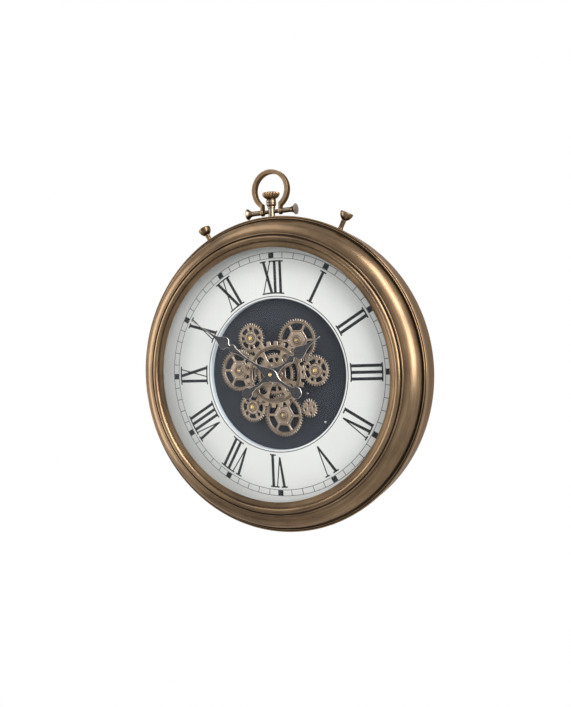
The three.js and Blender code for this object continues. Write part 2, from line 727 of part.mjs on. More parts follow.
// A bowl with upright flutes round it, wide at the top
function crownGeometry() {
  const levels = [[0, 0.55], [0.22, 0.76], [0.52, 0.93], [0.88, 1], [1, 0.95]];
  const rings = levels.map(([height, share]) => {
    const ring = [];
    for (let i = 0; i < CROWN_FLUTES * 2; i += 1) {
      const radius = CROWN_RADIUS * share * (i % 2 ? 1 - FLUTE_DEPTH : 1);
      const p = polar(radius, (i * Math.PI) / CROWN_FLUTES);
      ring.push(new THREE.Vector3(p.x, CROWN_Y + CROWN_HEIGHT * height, p.y));
    }
    return ring;
  });
  return loft(rings);
}

// A flared knob whose shank is screwed to the end of the cross bar
function knobGeometry() {
  const start = BAR_HALF_LENGTH + SHANK_LENGTH;
  const end = start + KNOB_LENGTH;
  return turned([
    [0, BAR_HALF_LENGTH], [SHANK_RADIUS, BAR_HALF_LENGTH], [SHANK_RADIUS, start],
    [SHANK_RADIUS + 0.7, start + KNOB_LENGTH * 0.3],
    [KNOB_RADIUS * 0.74, start + KNOB_LENGTH * 0.6], [KNOB_RADIUS, start + KNOB_LENGTH * 0.84],
    [KNOB_RADIUS * 0.9, end - 0.6], [0, end],
  ], 'x', SMALL_ROUND);
}

function barGeometry() {
  return turned([
    [0, -BAR_HALF_LENGTH], [BAR_RADIUS, -BAR_HALF_LENGTH], [BAR_RADIUS, BAR_HALF_LENGTH],
    [0, BAR_HALF_LENGTH],
  ], 'x', PIN_ROUND);
}

function bandSection(angle) {
  const a = BOW_WIDTH / 2;
  const b = BOW_THICKNESS / 2;
  const bevel = 1.1;
  const corners = [
    [a, b - bevel], [a - bevel, b], [bevel - a, b], [-a, b - bevel],
    [-a, bevel - b], [bevel - a, -b], [a - bevel, -b], [a, bevel - b],
  ];
  const outward = polar(1, angle);
  return corners.map(([radial, z]) => {
    const reach = BOW_RADIUS + radial;
    return new THREE.Vector3(reach * outward.x, reach * outward.y, z);
  });
}

// A flat band bent to a ring, open below, on two upright ears that hang on the bar
function bowGeometry() {
  const open = Math.asin((LUG_INSIDE + LUG_THICKNESS / 2) / BOW_RADIUS);
  const rings = [];
  const steps = 16;
  for (let i = 0; i <= steps; i += 1) {
    rings.push(bandSection(-Math.PI / 2 + open + ((2 * Math.PI - 2 * open) * i) / steps));
  }
  const band = loft(rings).translate(0, BOW_RISE, 0);
  const footY = BOW_RISE - BOW_RADIUS * Math.cos(open);
  const top = footY + BOW_WIDTH * 0.35;
  const half = BOW_THICKNESS / 2;
  const outline = [new THREE.Vector2(half, top), new THREE.Vector2(-half, top)];
  for (let i = 0; i <= 6; i += 1) {
    outline.push(polar(LUG_RADIUS, Math.PI + (i * Math.PI) / 6));
  }
  const ears = [LUG_INSIDE, -LUG_INSIDE - LUG_THICKNESS].map((x) => {
    return plate(outline, [], 0, LUG_THICKNESS).rotateY(Math.PI / 2).translate(x, 0, 0);
  });
  return cut(join(band, ...ears).translate(0, BAR_Y, 0), barHole(BAR_HALF_LENGTH));
}

function pusherStem() {
  const base = DRUM_RADIUS + GAP;
  const end = base + PUSHER_STEM_LENGTH;
  return turned([
    [0, base], [PUSHER_FLARE, base], [PUSHER_STEM + 0.6, base + 3.2], [PUSHER_STEM, base + 6],
    [PUSHER_STEM, end], [0, end],
  ], 'y', SMALL_ROUND);
}

function pusherCap() {
  const start = DRUM_RADIUS + GAP + PUSHER_STEM_LENGTH + GAP;
  const h = PUSHER_CAP_HEIGHT;
  return turned([
    [0, start], [PUSHER_STEM + 1, start], [PUSHER_CAP * 0.74, start + h * 0.24],
    [PUSHER_CAP * 0.93, start + h * 0.52], [PUSHER_CAP, start + h * 0.86],
    [PUSHER_CAP * 0.96, start + h * 0.95], [0, start + h],
  ], 'y', SMALL_ROUND);
}

function addCrown() {
  const forward = (geometry) => geometry.translate(0, 0, -CROWN_DEPTH);
  add('crown_stem', forward(stemGeometry()), 'bronze');
  add('crown', forward(crownGeometry()), 'bronze');
  add('cross_bar', forward(barGeometry().translate(0, BAR_Y, 0)), 'bronze');
  add('bar_knob_right', forward(knobGeometry().translate(0, BAR_Y, 0)), 'bronze');
  add('bar_knob_left', forward(knobGeometry().rotateY(Math.PI).translate(0, BAR_Y, 0)), 'bronze');
  add('bow_ring', forward(bowGeometry()), 'bronze');
  for (const [side, angle] of [['left', PUSHER_ANGLES[0]], ['right', PUSHER_ANGLES[1]]]) {
    add(`pusher_stem_${side}`, forward(pusherStem().rotateZ(-angle * DEG)), 'bronze');
    add(`pusher_cap_${side}`, forward(pusherCap().rotateZ(-angle * DEG)), 'bronze');
  }
}

// Back

function movementFront() {
  return DISC_BACK - BUSH_FLANGE_THICKNESS;
}

function movementBack() {
  return movementFront() - MOVEMENT_DEPTH;
}

// An open bay for one cell that lies along x, cut in from the back
function cellBay(x, y, back) {
  const half = CELL_LENGTH / 2 + GAP;
  const depth = 2 * CELL_RADIUS + 2 * GAP;
  return box(x - half, x + half, y - CELL_RADIUS - GAP, y + CELL_RADIUS + GAP, back - 1, back + depth);
}

function cellGeometry(x, y, back) {
  const half = CELL_LENGTH / 2;
  const nub = 1.5;
  return turned([
    [0, -half], [CELL_RADIUS, -half], [CELL_RADIUS, half - nub], [CELL_RADIUS * 0.38, half - nub],
    [CELL_RADIUS * 0.38, half], [0, half],
  ], 'x', SMALL_ROUND).translate(x, y, back + CELL_RADIUS + GAP);
}

function movementCellY() {
  return -MOVEMENT_SIZE / 2 + CELL_RADIUS + GAP + CELL_WALL;
}

function movementGeometry() {
  const half = MOVEMENT_SIZE / 2;
  const back = movementBack();
  const body = box(-half, half, -half, half, back, movementFront());
  const arborBore = rod(BUSH_BORE, back + 4 - GAP, movementFront() + 1, PIN_ROUND);
  const knobBore = rod(KNOB_STEM + GAP, back - 1, back + 3.3, PIN_ROUND);
  return cut(body, arborBore, knobBore, cellBay(0, movementCellY(), back));
}

function driveBox(wheel) {
  const half = DRIVE_WIDTH / 2;
  const top = wheel.y + DRIVE_HEIGHT * 0.36;
  return { x0: wheel.x - half, x1: wheel.x + half, y0: top - DRIVE_HEIGHT, y1: top };
}

function driveCellY(wheel) {
  return driveBox(wheel).y0 + CELL_RADIUS + GAP + CELL_WALL;
}

function switchAt(wheel) {
  return { x: wheel.x + DRIVE_WIDTH / 2 - 10, y: wheel.y + DRIVE_HEIGHT * 0.22 };
}

function driveGeometry(wheel) {
  const b = driveBox(wheel);
  const back = DISC_BACK - DRIVE_DEPTH;
  const body = box(b.x0, b.x1, b.y0, b.y1, back, DISC_BACK);
  const reach = DISC_BACK - DRIVE_DEPTH / 2 - GAP;
  const bore = place(rod(WHEEL_PIN + GAP, reach, DISC_BACK + 1, PIN_ROUND), wheel);
  const s = switchAt(wheel);
  const halfX = SWITCH_WIDTH / 2 + GAP;
  const y0 = s.y - SWITCH_LENGTH / 2 - GAP;
  const y1 = s.y + SWITCH_LENGTH / 2 + SWITCH_TRAVEL + GAP;
  const slot = box(s.x - halfX, s.x + halfX, y0, y1, back - 1, back + 3);
  return cut(body, bore, slot, cellBay(wheel.x, driveCellY(wheel), back));
}

function setKnobGeometry() {
  const back = movementBack();
  return turned([
    [0, back - GAP - SET_KNOB_HEIGHT], [SET_KNOB_RADIUS, back - GAP - SET_KNOB_HEIGHT],
    [SET_KNOB_RADIUS, back - GAP], [KNOB_STEM, back - GAP], [KNOB_STEM, back + 3], [0, back + 3],
  ], 'z', SMALL_ROUND);
}

function coverGeometry() {
  const outline = circle(BOARD_RADIUS, ROUND);
  const half = SERVICE_WIDTH / 2;
  const service = rectangle(-half, SERVICE_BOTTOM, half, SERVICE_TOP);
  return plate(outline, [service, nailRoom()], COVER_Z, COVER_FRONT);
}

// Room in the cover for the nail's head, behind the keyhole and its slot
function nailRoom() {
  const y = hangerY();
  const points = [];
  for (let i = 0; i <= 6; i += 1) {
    const p = polar(NAIL_ROOM, (i * Math.PI) / 6);
    points.push(new THREE.Vector2(p.x, y + KEYHOLE_RISE - KEYHOLE_SLOT + p.y));
  }
  for (let i = 6; i <= 12; i += 1) {
    const p = polar(NAIL_ROOM, (i * Math.PI) / 6);
    points.push(new THREE.Vector2(p.x, y + p.y));
  }
  return points;
}

function hangerY() {
  return FLANGE_INSIDE - HANGER_DROP;
}

function hangerGeometry() {
  const y = hangerY();
  const halfX = HANGER_WIDTH / 2;
  const halfY = HANGER_HEIGHT / 2;
  const outline = rectangle(-halfX, y - halfY, halfX, y + halfY);
  const keyhole = [];
  const reach = Math.sqrt(KEYHOLE_RADIUS ** 2 - KEYHOLE_SLOT ** 2);
  keyhole.push(new THREE.Vector2(KEYHOLE_SLOT, y + KEYHOLE_RISE));
  keyhole.push(new THREE.Vector2(-KEYHOLE_SLOT, y + KEYHOLE_RISE));
  const start = Math.atan2(reach, -KEYHOLE_SLOT);
  const sweep = 2 * Math.PI - (start - Math.atan2(reach, KEYHOLE_SLOT));
  for (let i = 0; i <= 10; i += 1) {
    const p = polar(KEYHOLE_RADIUS, start + (sweep * i) / 10);
    keyhole.push(new THREE.Vector2(p.x, p.y + y));
  }
  return plate(outline, [keyhole], COVER_Z - HANGER_THICKNESS, COVER_Z);
}

function screwHead(x, y) {
  return rod(SCREW_HEAD, COVER_Z - SCREW_HEAD_HEIGHT, COVER_Z, 8).translate(x, y, 0);
}

function addBack(drivenWheel) {
  const boardHoles = [
    circle(BUSH_RADIUS + GAP, SMALL_ROUND),
    circle(WHEEL_PIN + GAP, PIN_ROUND, drivenWheel.x, drivenWheel.y),
  ];
  add('disc_board', plate(circle(BOARD_RADIUS, ROUND), boardHoles, DISC_BACK, DISC_Z), 'charcoal');
  add('back_cover', coverGeometry(), 'board');
  add('movement_case', movementGeometry(), 'plastic');
  add('movement_cell', cellGeometry(0, movementCellY(), movementBack()), 'cell');
  add('set_knob', setKnobGeometry(), 'plastic');
  const driveBack = DISC_BACK - DRIVE_DEPTH;
  add('drive_case', driveGeometry(drivenWheel), 'plastic');
  add('drive_cell', cellGeometry(drivenWheel.x, driveCellY(drivenWheel), driveBack), 'cell');
  const s = switchAt(drivenWheel);
  add('drive_switch', box(
    s.x - SWITCH_WIDTH / 2, s.x + SWITCH_WIDTH / 2, s.y - SWITCH_LENGTH / 2,
    s.y + SWITCH_LENGTH / 2, driveBack - SWITCH_PROUD, driveBack + 3 - GAP,
  ), 'plastic');
  add('hanger_plate', hangerGeometry(), 'steel');
  [45, 135, 225, 315].forEach((angle, i) => {
    const at = polar(STANDOFF_CIRCLE, angle * DEG);
    add(`standoff_${i + 1}`, place(rod(STANDOFF_RADIUS, COVER_FRONT, DISC_BACK, 8), at), 'steel');
    add(`cover_screw_${i + 1}`, screwHead(at.x, at.y), 'steel');
  });
}

addCase();
addBack(addTrain());
add('front_wheel', frontWheelGeometry(), 'gear');
add('hub_cup', hubGeometry(), 'gear');
addBush();
addHands();
addCrown();

// Stand the clock up: wall plane at y = 0, hanging point of the flange at the origin
clock.rotation.x = Math.PI / 2;
clock.position.set(0, WALL_Z, -ORIGIN_Y);
clock.updateMatrixWorld(true);

export default clock;
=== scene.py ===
import math

import bmesh
import bpy
import numpy as np
from mathutils import Matrix, Vector


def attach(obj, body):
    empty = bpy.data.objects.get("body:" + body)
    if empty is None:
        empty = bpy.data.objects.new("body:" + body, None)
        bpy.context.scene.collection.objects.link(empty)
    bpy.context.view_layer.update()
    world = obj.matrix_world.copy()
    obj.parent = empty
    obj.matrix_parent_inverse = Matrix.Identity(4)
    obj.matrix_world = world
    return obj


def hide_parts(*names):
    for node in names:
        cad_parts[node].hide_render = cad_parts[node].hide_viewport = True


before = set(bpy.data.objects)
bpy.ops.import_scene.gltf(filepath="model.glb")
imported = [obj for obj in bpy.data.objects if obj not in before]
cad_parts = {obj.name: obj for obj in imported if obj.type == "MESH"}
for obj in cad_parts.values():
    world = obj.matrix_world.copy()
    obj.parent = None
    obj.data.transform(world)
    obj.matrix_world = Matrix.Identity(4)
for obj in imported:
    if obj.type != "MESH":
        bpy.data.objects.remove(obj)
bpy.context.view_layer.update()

DEG = math.pi / 180

# The face's place in the row frame
WALL = 50.0
ORIGIN_Y = 287.0
FACE = Matrix(((0.001, 0, 0, 0), (0, 0, -0.001, -WALL / 1000), (0, 0.001, 0, -ORIGIN_Y / 1000), (0, 0, 0, 1)))

# Heights of the faces, as in the part's source
DISC_Z = -11.4
GEAR_Z = -1.4
GEAR_TOP = 1.6
PLATE_TOP = 2.9
BOSS_TOP = 4.4
FRONT_Z = 3.4
FRONT_TOP = 5.4
BUSH_TOP = 10.4
HOUR_Z = 19.0
HOUR_TOP = 20.4
MINUTE_Z = 22.1
MINUTE_TOP = 23.5
NUT_TOP = 25.8
GLASS_Z = 26.1
GLASS_TOP = 28.6

# Radii, as in the part's source
RIM = 300.0
DRUM = 296.0
DRUM_IN = 293.5
FLANGE_IN = 278.0
BOARD = 293.2
WELL = 145.0
OPENING = 239.3
GLASS = 246.0
UNIT = 227.3      # the dial's middle radius, in which the printing is measured

# Crown group, as in the part's source: its depth, the heights of its pieces and its sizes
CROWN_Z = -11.4
NECK_Y = 296.3
BAR_Y = 311.2
COLLAR_Y = 320.6
CROWN_Y = 335.6
CROWN_RADIUS = 17.0
CROWN_HEIGHT = 12.0
BAR_RADIUS = 3.7
BAR_HALF = 22.2

# Where the hands point, in degrees from twelve
HOUR_ANGLE = 56.6
MINUTE_ANGLE = 303.0


# Shapes ---------------------------------------------------------------------------------------

class Shape:
    """Corners in millimetres, faces, and for each face the number of its material."""

    def __init__(self, corners, faces, looks=None):
        self.corners = np.asarray(corners, float).reshape(-1, 3)
        self.faces = list(faces)
        self.looks = list(looks) if looks is not None else [0] * len(self.faces)

    def __add__(self, other):
        shift = len(self.corners)
        faces = self.faces + [tuple(i + shift for i in face) for face in other.faces]
        return Shape(np.vstack([self.corners, other.corners]), faces, self.looks + other.looks)

    def moved(self, x=0.0, y=0.0, z=0.0):
        return Shape(self.corners + (x, y, z), self.faces, self.looks)

    def posed(self, matrix):
        m = np.array(matrix)
        return Shape(self.corners @ m[:3, :3].T + m[:3, 3], self.faces, self.looks)

    def look(self, number):
        return Shape(self.corners, self.faces, [number] * len(self.faces))


def join_shapes(shapes):
    whole = shapes[0]
    for shape in shapes[1:]:
        whole = whole + shape
    return whole


def spin(degrees, axis="Z"):
    return Matrix.Rotation(degrees * DEG, 4, axis)


def shift(x, y, z):
    return Matrix.Translation((x, y, z))


UPRIGHT = spin(-90, "X")      # turns the z axis of a lathe to the face's y
SIDEWAYS = spin(90, "Y")      # turns it to the face's x


def band(a, b, count):
    """The faces between two rows of as many corners, which begin at a and b."""
    return [(a + i, a + (i + 1) % count, b + (i + 1) % count, b + i) for i in range(count)]


def up(base, *points):
    """Points of (radius, height) whose heights are counted from the base."""
    return [(r, base + h) for r, h in points]


def lathe(profile, count=96, looks=None):
    """A profile of (radius, height) turned about z. One that starts off the axis is closed."""
    points = [tuple(p) for p in profile]
    closed = points[0][0] > 1e-9
    angles = np.arange(count) * 2 * math.pi / count
    rows = [np.stack([r * np.cos(angles), r * np.sin(angles), np.full(count, float(h))], 1) for r, h in points]
    corners = np.vstack(rows)
    faces, marks = [], []
    for k in range(len(points) if closed else len(points) - 1):
        after = (k + 1) % len(points)
        faces += band(k * count, after * count, count)
        marks += [looks(points[k], points[after]) if looks else 0] * count
    return Shape(corners, faces, marks)


def loft(rings):
    """Rings of as many points each, joined to one closed skin with flat ends."""
    count = len(rings[0])
    faces = []
    for k in range(len(rings) - 1):
        faces += band(k * count, (k + 1) * count, count)
    faces.append(tuple(range(count))[::-1])
    faces.append(tuple(range((len(rings) - 1) * count, len(rings) * count)))
    return Shape(np.vstack([np.asarray(ring, float) for ring in rings]), faces)


def plate(outline, holes, z0, z1, bevel=0.3, steps=0, edge_look=None):
    """A flat plate with holes, its edges bevelled inside its outline."""
    curve = bpy.data.curves.new("plate", "CURVE")
    curve.dimensions = "2D"
    curve.fill_mode = "BOTH"
    curve.extrude = (z1 - z0) / 2 - bevel
    curve.bevel_depth = bevel
    curve.bevel_resolution = steps
    curve.offset = -bevel
    for loop in [outline, *holes]:
        spline = curve.splines.new("POLY")
        spline.points.add(len(loop) - 1)
        for point, (x, y) in zip(spline.points, loop):
            point.co = (x, y, 0, 1)
        spline.use_cyclic_u = True
    holder = bpy.data.objects.new("plate", curve)
    mesh = bpy.data.meshes.new_from_object(holder)
    corners = np.zeros(len(mesh.vertices) * 3)
    mesh.vertices.foreach_get("co", corners)
    faces = [tuple(face.vertices) for face in mesh.polygons]
    looks = [0 if edge_look is None or abs(face.normal.z) > 0.95 else edge_look for face in mesh.polygons]
    bpy.data.objects.remove(holder)
    bpy.data.curves.remove(curve)
    bpy.data.meshes.remove(mesh)
    return Shape(corners, faces, looks).moved(z=(z0 + z1) / 2)


def prism(outline, z0, z1):
    """A flat sheet of print or trim with upright sides."""
    count = len(outline)
    corners = [(x, y, z0) for x, y in outline] + [(x, y, z1) for x, y in outline]
    faces = [tuple(range(count))[::-1], tuple(range(count, 2 * count)), *band(0, count, count)]
    return Shape(corners, faces)


def polar(radius, angle):
    return radius * math.cos(angle), radius * math.sin(angle)


def circle(radius, count=32, x=0.0, y=0.0):
    around = (2 * math.pi * i / count for i in range(count))
    return [(x + radius * math.cos(a), y + radius * math.sin(a)) for a in around]


def soften(points, spacing, reach, rounds=2):
    """The closed outline drawn again at a fine spacing, with its corners rounded over about the reach."""
    p = np.asarray(points, float)
    q = np.vstack([p, p[:1]])
    lengths = np.hypot(*np.diff(q, axis=0).T)
    along = np.concatenate([[0], np.cumsum(lengths)])
    count = max(12, int(along[-1] / spacing))
    t = np.arange(count) * along[-1] / count
    fine = np.stack([np.interp(t, along, q[:, 0]), np.interp(t, along, q[:, 1])], 1)
    half = max(1, int(round(reach / (along[-1] / count) / 2)))
    for _ in range(rounds):
        fine = sum(np.roll(fine, k, axis=0) for k in range(-half, half + 1)) / (2 * half + 1)
    return [tuple(v) for v in fine]


def mesh_of(name, shape):
    mesh = bpy.data.meshes.new(name)
    mesh.from_pydata([tuple(c) for c in shape.corners], [], shape.faces)
    return mesh


def add_object(name, data):
    made = bpy.data.objects.new(name, data)
    bpy.context.scene.collection.objects.link(made)
    return made


def piece(name, shape, looks, body, nodes=(), angle=32):
    """Makes the mesh in the row frame, welds it, and hangs it on its body in place of CAD nodes."""
    mesh = mesh_of(name, shape)
    mesh.polygons.foreach_set("material_index", shape.looks)
    bm = bmesh.new()
    bm.from_mesh(mesh)
    bmesh.ops.remove_doubles(bm, verts=bm.verts, dist=2e-4)
    bmesh.ops.dissolve_degenerate(bm, edges=bm.edges, dist=1e-4)
    bmesh.ops.recalc_face_normals(bm, faces=bm.faces)
    bm.to_mesh(mesh)
    bm.free()
    mesh.transform(FACE)
    for look in looks if isinstance(looks, (list, tuple)) else [looks]:
        mesh.materials.append(look)
    mesh.polygons.foreach_set("use_smooth", [True] * len(mesh.polygons))
    mesh.set_sharp_from_angle(angle=angle * DEG)
    made = add_object(name, mesh)
    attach(made, body)
    if nodes:
        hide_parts(*nodes)
    return made


# Materials ------------------------------------------------------------------------------------

def fill(tree, node, sockets):
    """Links each socket to another node's output, or sets it."""
    for key, value in sockets.items():
        if isinstance(value, bpy.types.NodeSocket):
            tree.links.new(value, node.inputs[key])
        else:
            node.inputs[key].default_value = value


def put(tree, kind, sockets=None, **settings):
    made = tree.nodes.new("ShaderNode" + kind)
    for key, value in settings.items():
        setattr(made, key, value)
    fill(tree, made, sockets or {})
    return made


def calc(tree, operation, a, b=0.0):
    return put(tree, "Math", {0: a, 1: b}, operation=operation).outputs[0]


def times(tree, a, b):
    return calc(tree, "MULTIPLY", a, b)


def weighed(tree, a, share, b):
    """So much of a, and the rest of b."""
    return calc(tree, "ADD", times(tree, a, share), times(tree, b, 1 - share))


def ramp(tree, value, stops):
    made = put(tree, "ValToRGB", {"Fac": value})
    while len(made.color_ramp.elements) < len(stops):
        made.color_ramp.elements.new(0.5)
    for element, (place, colour) in zip(made.color_ramp.elements, stops):
        element.position = place
        element.color = (*colour, 1)
    return made.outputs["Color"]


def levels(tree, value, low, high, out_low=0.0, out_high=1.0):
    sockets = {"Value": value, "From Min": low, "From Max": high, "To Min": out_low, "To Max": out_high}
    return put(tree, "MapRange", sockets).outputs["Result"]


def noise(tree, vector, scale, detail=3.0, roughness=0.55, **fourth):
    sockets = {"Vector": vector, "Scale": scale, "Detail": detail, "Roughness": roughness, **fourth}
    return put(tree, "TexNoise", sockets, noise_dimensions="4D" if fourth else "3D").outputs["Fac"]


def blend(tree, share, first, second):
    first, second = (v if isinstance(v, bpy.types.NodeSocket) else (*v, 1) for v in (first, second))
    return put(tree, "Mix", {0: share, 6: first, 7: second}, data_type="RGBA").outputs[2]


def bump(tree, height, distance, strength, **under):
    sockets = {"Height": height, "Distance": distance, "Strength": strength, **under}
    return put(tree, "Bump", sockets).outputs["Normal"]


def darker(colour, share):
    return tuple(v * share for v in colour)


def shade_in_hollows(tree, reach, low, high, most):
    """How much painted shade lies in hollows no wider than about the reach, in metres; it stands also for the patina
    of old bronze there.
    """
    close = put(tree, "AmbientOcclusion", {"Distance": reach}, samples=8).outputs["AO"]
    return levels(tree, close, low, high, most, 0.0)


def start(name):
    made = bpy.data.materials.new(name)
    made.use_nodes = True
    tree = made.node_tree
    return made, tree, tree.nodes["Principled BSDF"]


def place(tree):
    return put(tree, "TexCoord").outputs["Object"]


def round_place(tree):
    """Radius from the clock's axis, depth from the wall, and the direction as cosine and sine."""
    split = put(tree, "SeparateXYZ", {0: place(tree)})
    x = split.outputs["X"]
    z = calc(tree, "ADD", split.outputs["Z"], ORIGIN_Y / 1000)
    radius = calc(tree, "SQRT", calc(tree, "ADD", times(tree, x, x), times(tree, z, z)))
    return radius, split.outputs["Y"], calc(tree, "DIVIDE", x, radius), calc(tree, "DIVIDE", z, radius)


def streaks(tree, across, along):
    """Noise drawn out round the clock's axis, as brushing on a lathe leaves it."""
    radius, depth, cosine, sine = round_place(tree)
    parts = {0: times(tree, radius, across), 1: times(tree, depth, across), 2: times(tree, cosine, along)}
    return noise(tree, put(tree, "CombineXYZ", parts).outputs[0], 1.0, 4.0, 0.6, W=times(tree, sine, along))


EDGE_BROWN = (0.72, 0.56, 0.42, 1)      # the tint of old bronze seen at a slant


def turned_bronze(name, dark, mid, light, rough, coat):
    """Antique bronze brushed round the clock's axis: darker in its grooves and hollows by painted shade, which stands
    also for patina there, and paler on its crests.
    """
    made, tree, shader = start(name)
    fine = streaks(tree, 1500.0, 5.0)
    broad = streaks(tree, 140.0, 2.2)
    cloud = noise(tree, place(tree), 9.0, 4.0, 0.6)
    tone = weighed(tree, broad, 0.5, cloud)
    tone = calc(tree, "ADD", tone, times(tree, calc(tree, "SUBTRACT", fine, 0.5), 0.35))
    colour = ramp(tree, tone, [(0.3, dark), (0.5, mid), (0.72, light)])
    # Painted shade in the grooves: where pointiness is low, the colour is darkened.
    wear_and_groove_shade = levels(tree, put(tree, "NewGeometry").outputs["Pointiness"], 0.46, 0.54)
    colour = blend(tree, wear_and_groove_shade, blend(tree, 0.55, colour, dark), colour)
    # The base colour is darkened in hollows as painted shade.
    fill(tree, shader, {
        "Base Color": blend(tree, shade_in_hollows(tree, 0.007, 0.35, 0.85, 0.85), colour, darker(dark, 0.3)),
        "Metallic": 1.0,
        "Roughness": levels(tree, calc(tree, "ADD", fine, cloud), 0.6, 1.4, rough - 0.07, rough + 0.1),
        "Normal": bump(tree, fine, 0.00006, 0.35),
        "Anisotropic": 0.55,
        "Anisotropic Rotation": 0.25,
        "Tangent": put(tree, "Tangent", direction_type="RADIAL", axis="Y").outputs[0],
        "Specular Tint": EDGE_BROWN,
        "Coat Weight": coat,
        "Coat Roughness": 0.26,
    })
    return made


def cast_metal(name, dark, mid, light, rough, metallic=1.0, grain=900.0, relief=0.00004, hollow_shade=0.0, sides=0.0,
               reach=0.006):
    """Metal with clouds of tarnish, fine grain and edges rubbed paler, with painted shade in hollows, which stands
    also for patina there, and painted shade on faces turned away from the front.
    """
    made, tree, shader = start(name)
    at = place(tree)
    cloud = noise(tree, at, 60.0, 4.0, 0.6)
    fine = noise(tree, at, grain, 3.0, 0.6)
    tone = weighed(tree, cloud, 0.65, fine)
    colour = ramp(tree, tone, [(0.34, dark), (0.5, mid), (0.68, light)])
    wear_and_groove_shade = levels(tree, put(tree, "NewGeometry").outputs["Pointiness"], 0.5, 0.58)
    colour = blend(tree, times(tree, wear_and_groove_shade, 0.6), colour, light)
    # Painted shade in hollows, which stands also for patina there.
    if hollow_shade:
        colour = blend(tree, shade_in_hollows(tree, reach, 0.35, 0.9, hollow_shade), colour, darker(dark, 0.25))
        fill(tree, shader, {"Specular Tint": EDGE_BROWN})
    # Painted shade: faces turned away from the front are darkened.
    if sides:
        facing = put(tree, "SeparateXYZ", {0: put(tree, "NewGeometry").outputs["Normal"]}).outputs["Y"]
        colour = blend(tree, levels(tree, facing, -0.85, -0.35, 0.0, sides), colour, darker(dark, 0.3))
    fill(tree, shader, {
        "Base Color": colour,
        "Metallic": metallic,
        "Roughness": levels(tree, tone, 0.3, 0.7, rough - 0.08, rough + 0.1),
        "Normal": bump(tree, fine, relief, 0.5),
    })
    return made


def painted(name, dark, light, rough, scale=400.0, relief=0.00003, coat=0.0, gloss=0.5):
    """Paint or lacquer with a faint orange peel and slight unevenness of tone."""
    made, tree, shader = start(name)
    at = place(tree)
    cloud = noise(tree, at, 14.0, 4.0, 0.6)
    fine = noise(tree, at, scale, 3.0, 0.55)
    fill(tree, shader, {
        "Base Color": ramp(tree, weighed(tree, cloud, 0.6, fine), [(0.3, dark), (0.7, light)]),
        "Roughness": levels(tree, fine, 0.3, 0.7, rough - 0.05, rough + 0.07),
        "Normal": bump(tree, fine, relief, 0.4),
        "Specular IOR Level": gloss,
        "Coat Weight": coat,
        "Coat Roughness": 0.15,
    })
    return made


def hardboard():
    """Pressed brown fibre: short fibres, flecks, a dull nap and the print of the press's screen."""
    made, tree, shader = start("hardboard_fibre")
    at = place(tree)
    wide = put(tree, "Mapping", {"Vector": at, "Scale": (1.0, 1.0, 4.0)}).outputs[0]
    fibre = noise(tree, wide, 700.0, 5.0, 0.7)
    fleck = put(tree, "TexVoronoi", {"Vector": at, "Scale": 420.0}).outputs["Distance"]
    cloud = noise(tree, at, 12.0, 4.0, 0.6)
    colour = ramp(tree, weighed(tree, fibre, 0.6, cloud),
                  [(0.3, (0.075, 0.04, 0.02)), (0.5, (0.14, 0.08, 0.043)), (0.7, (0.22, 0.135, 0.075))])
    wave = {"Vector": at, "Scale": 420.0, "Distortion": 1.5, "Detail": 2.0}
    lines = [put(tree, "TexWave", wave, bands_direction=axis).outputs["Fac"] for axis in ("X", "Z")]
    screen = bump(tree, times(tree, *lines), 0.00012, 0.7)
    fill(tree, shader, {
        "Base Color": blend(tree, levels(tree, fleck, 0.12, 0.0, 0.0, 0.4), colour, (0.05, 0.028, 0.015)),
        "Roughness": levels(tree, fibre, 0.3, 0.7, 0.75, 0.95),
        "Normal": bump(tree, fibre, 0.0002, 0.6, Normal=screen),
    })
    return made


def clear_glass():
    """A clear pane: nearly all goes through, and it mirrors more at a slant, faintly blue."""
    made, tree, shader = start("clear_glass")
    facing = put(tree, "LayerWeight", {"Blend": 0.35}).outputs["Fresnel"]
    smear = noise(tree, place(tree), 22.0, 4.0, 0.6)
    share = levels(tree, facing, 0.045, 1.0, 0.004, 0.5)
    fill(tree, shader, {
        "Base Color": (0.86, 0.90, 0.94, 1),
        "Metallic": 1.0,
        "Alpha": times(tree, share, levels(tree, smear, 0.3, 0.7, 0.85, 1.15)),
        "Roughness": levels(tree, smear, 0.3, 0.7, 0.03, 0.07),
        "IOR": 1.5,
    })
    return made


def cell_wrap():
    """The printed film round a cell: grey metallic with a darker band at one end."""
    made, tree, shader = start("cell_wrap")
    at = place(tree)
    grain = noise(tree, at, 900.0, 2.0, 0.5)
    band_at = levels(tree, put(tree, "SeparateXYZ", {0: at}).outputs["X"], -0.012, -0.0115)
    colour = blend(tree, band_at, (0.05, 0.05, 0.055), (0.27, 0.275, 0.29))
    fill(tree, shader, {
        "Base Color": blend(tree, times(tree, grain, 0.25), colour, (0.5, 0.5, 0.52)),
        "Metallic": 0.6,
        "Roughness": levels(tree, grain, 0.3, 0.7, 0.26, 0.38),
    })
    return made


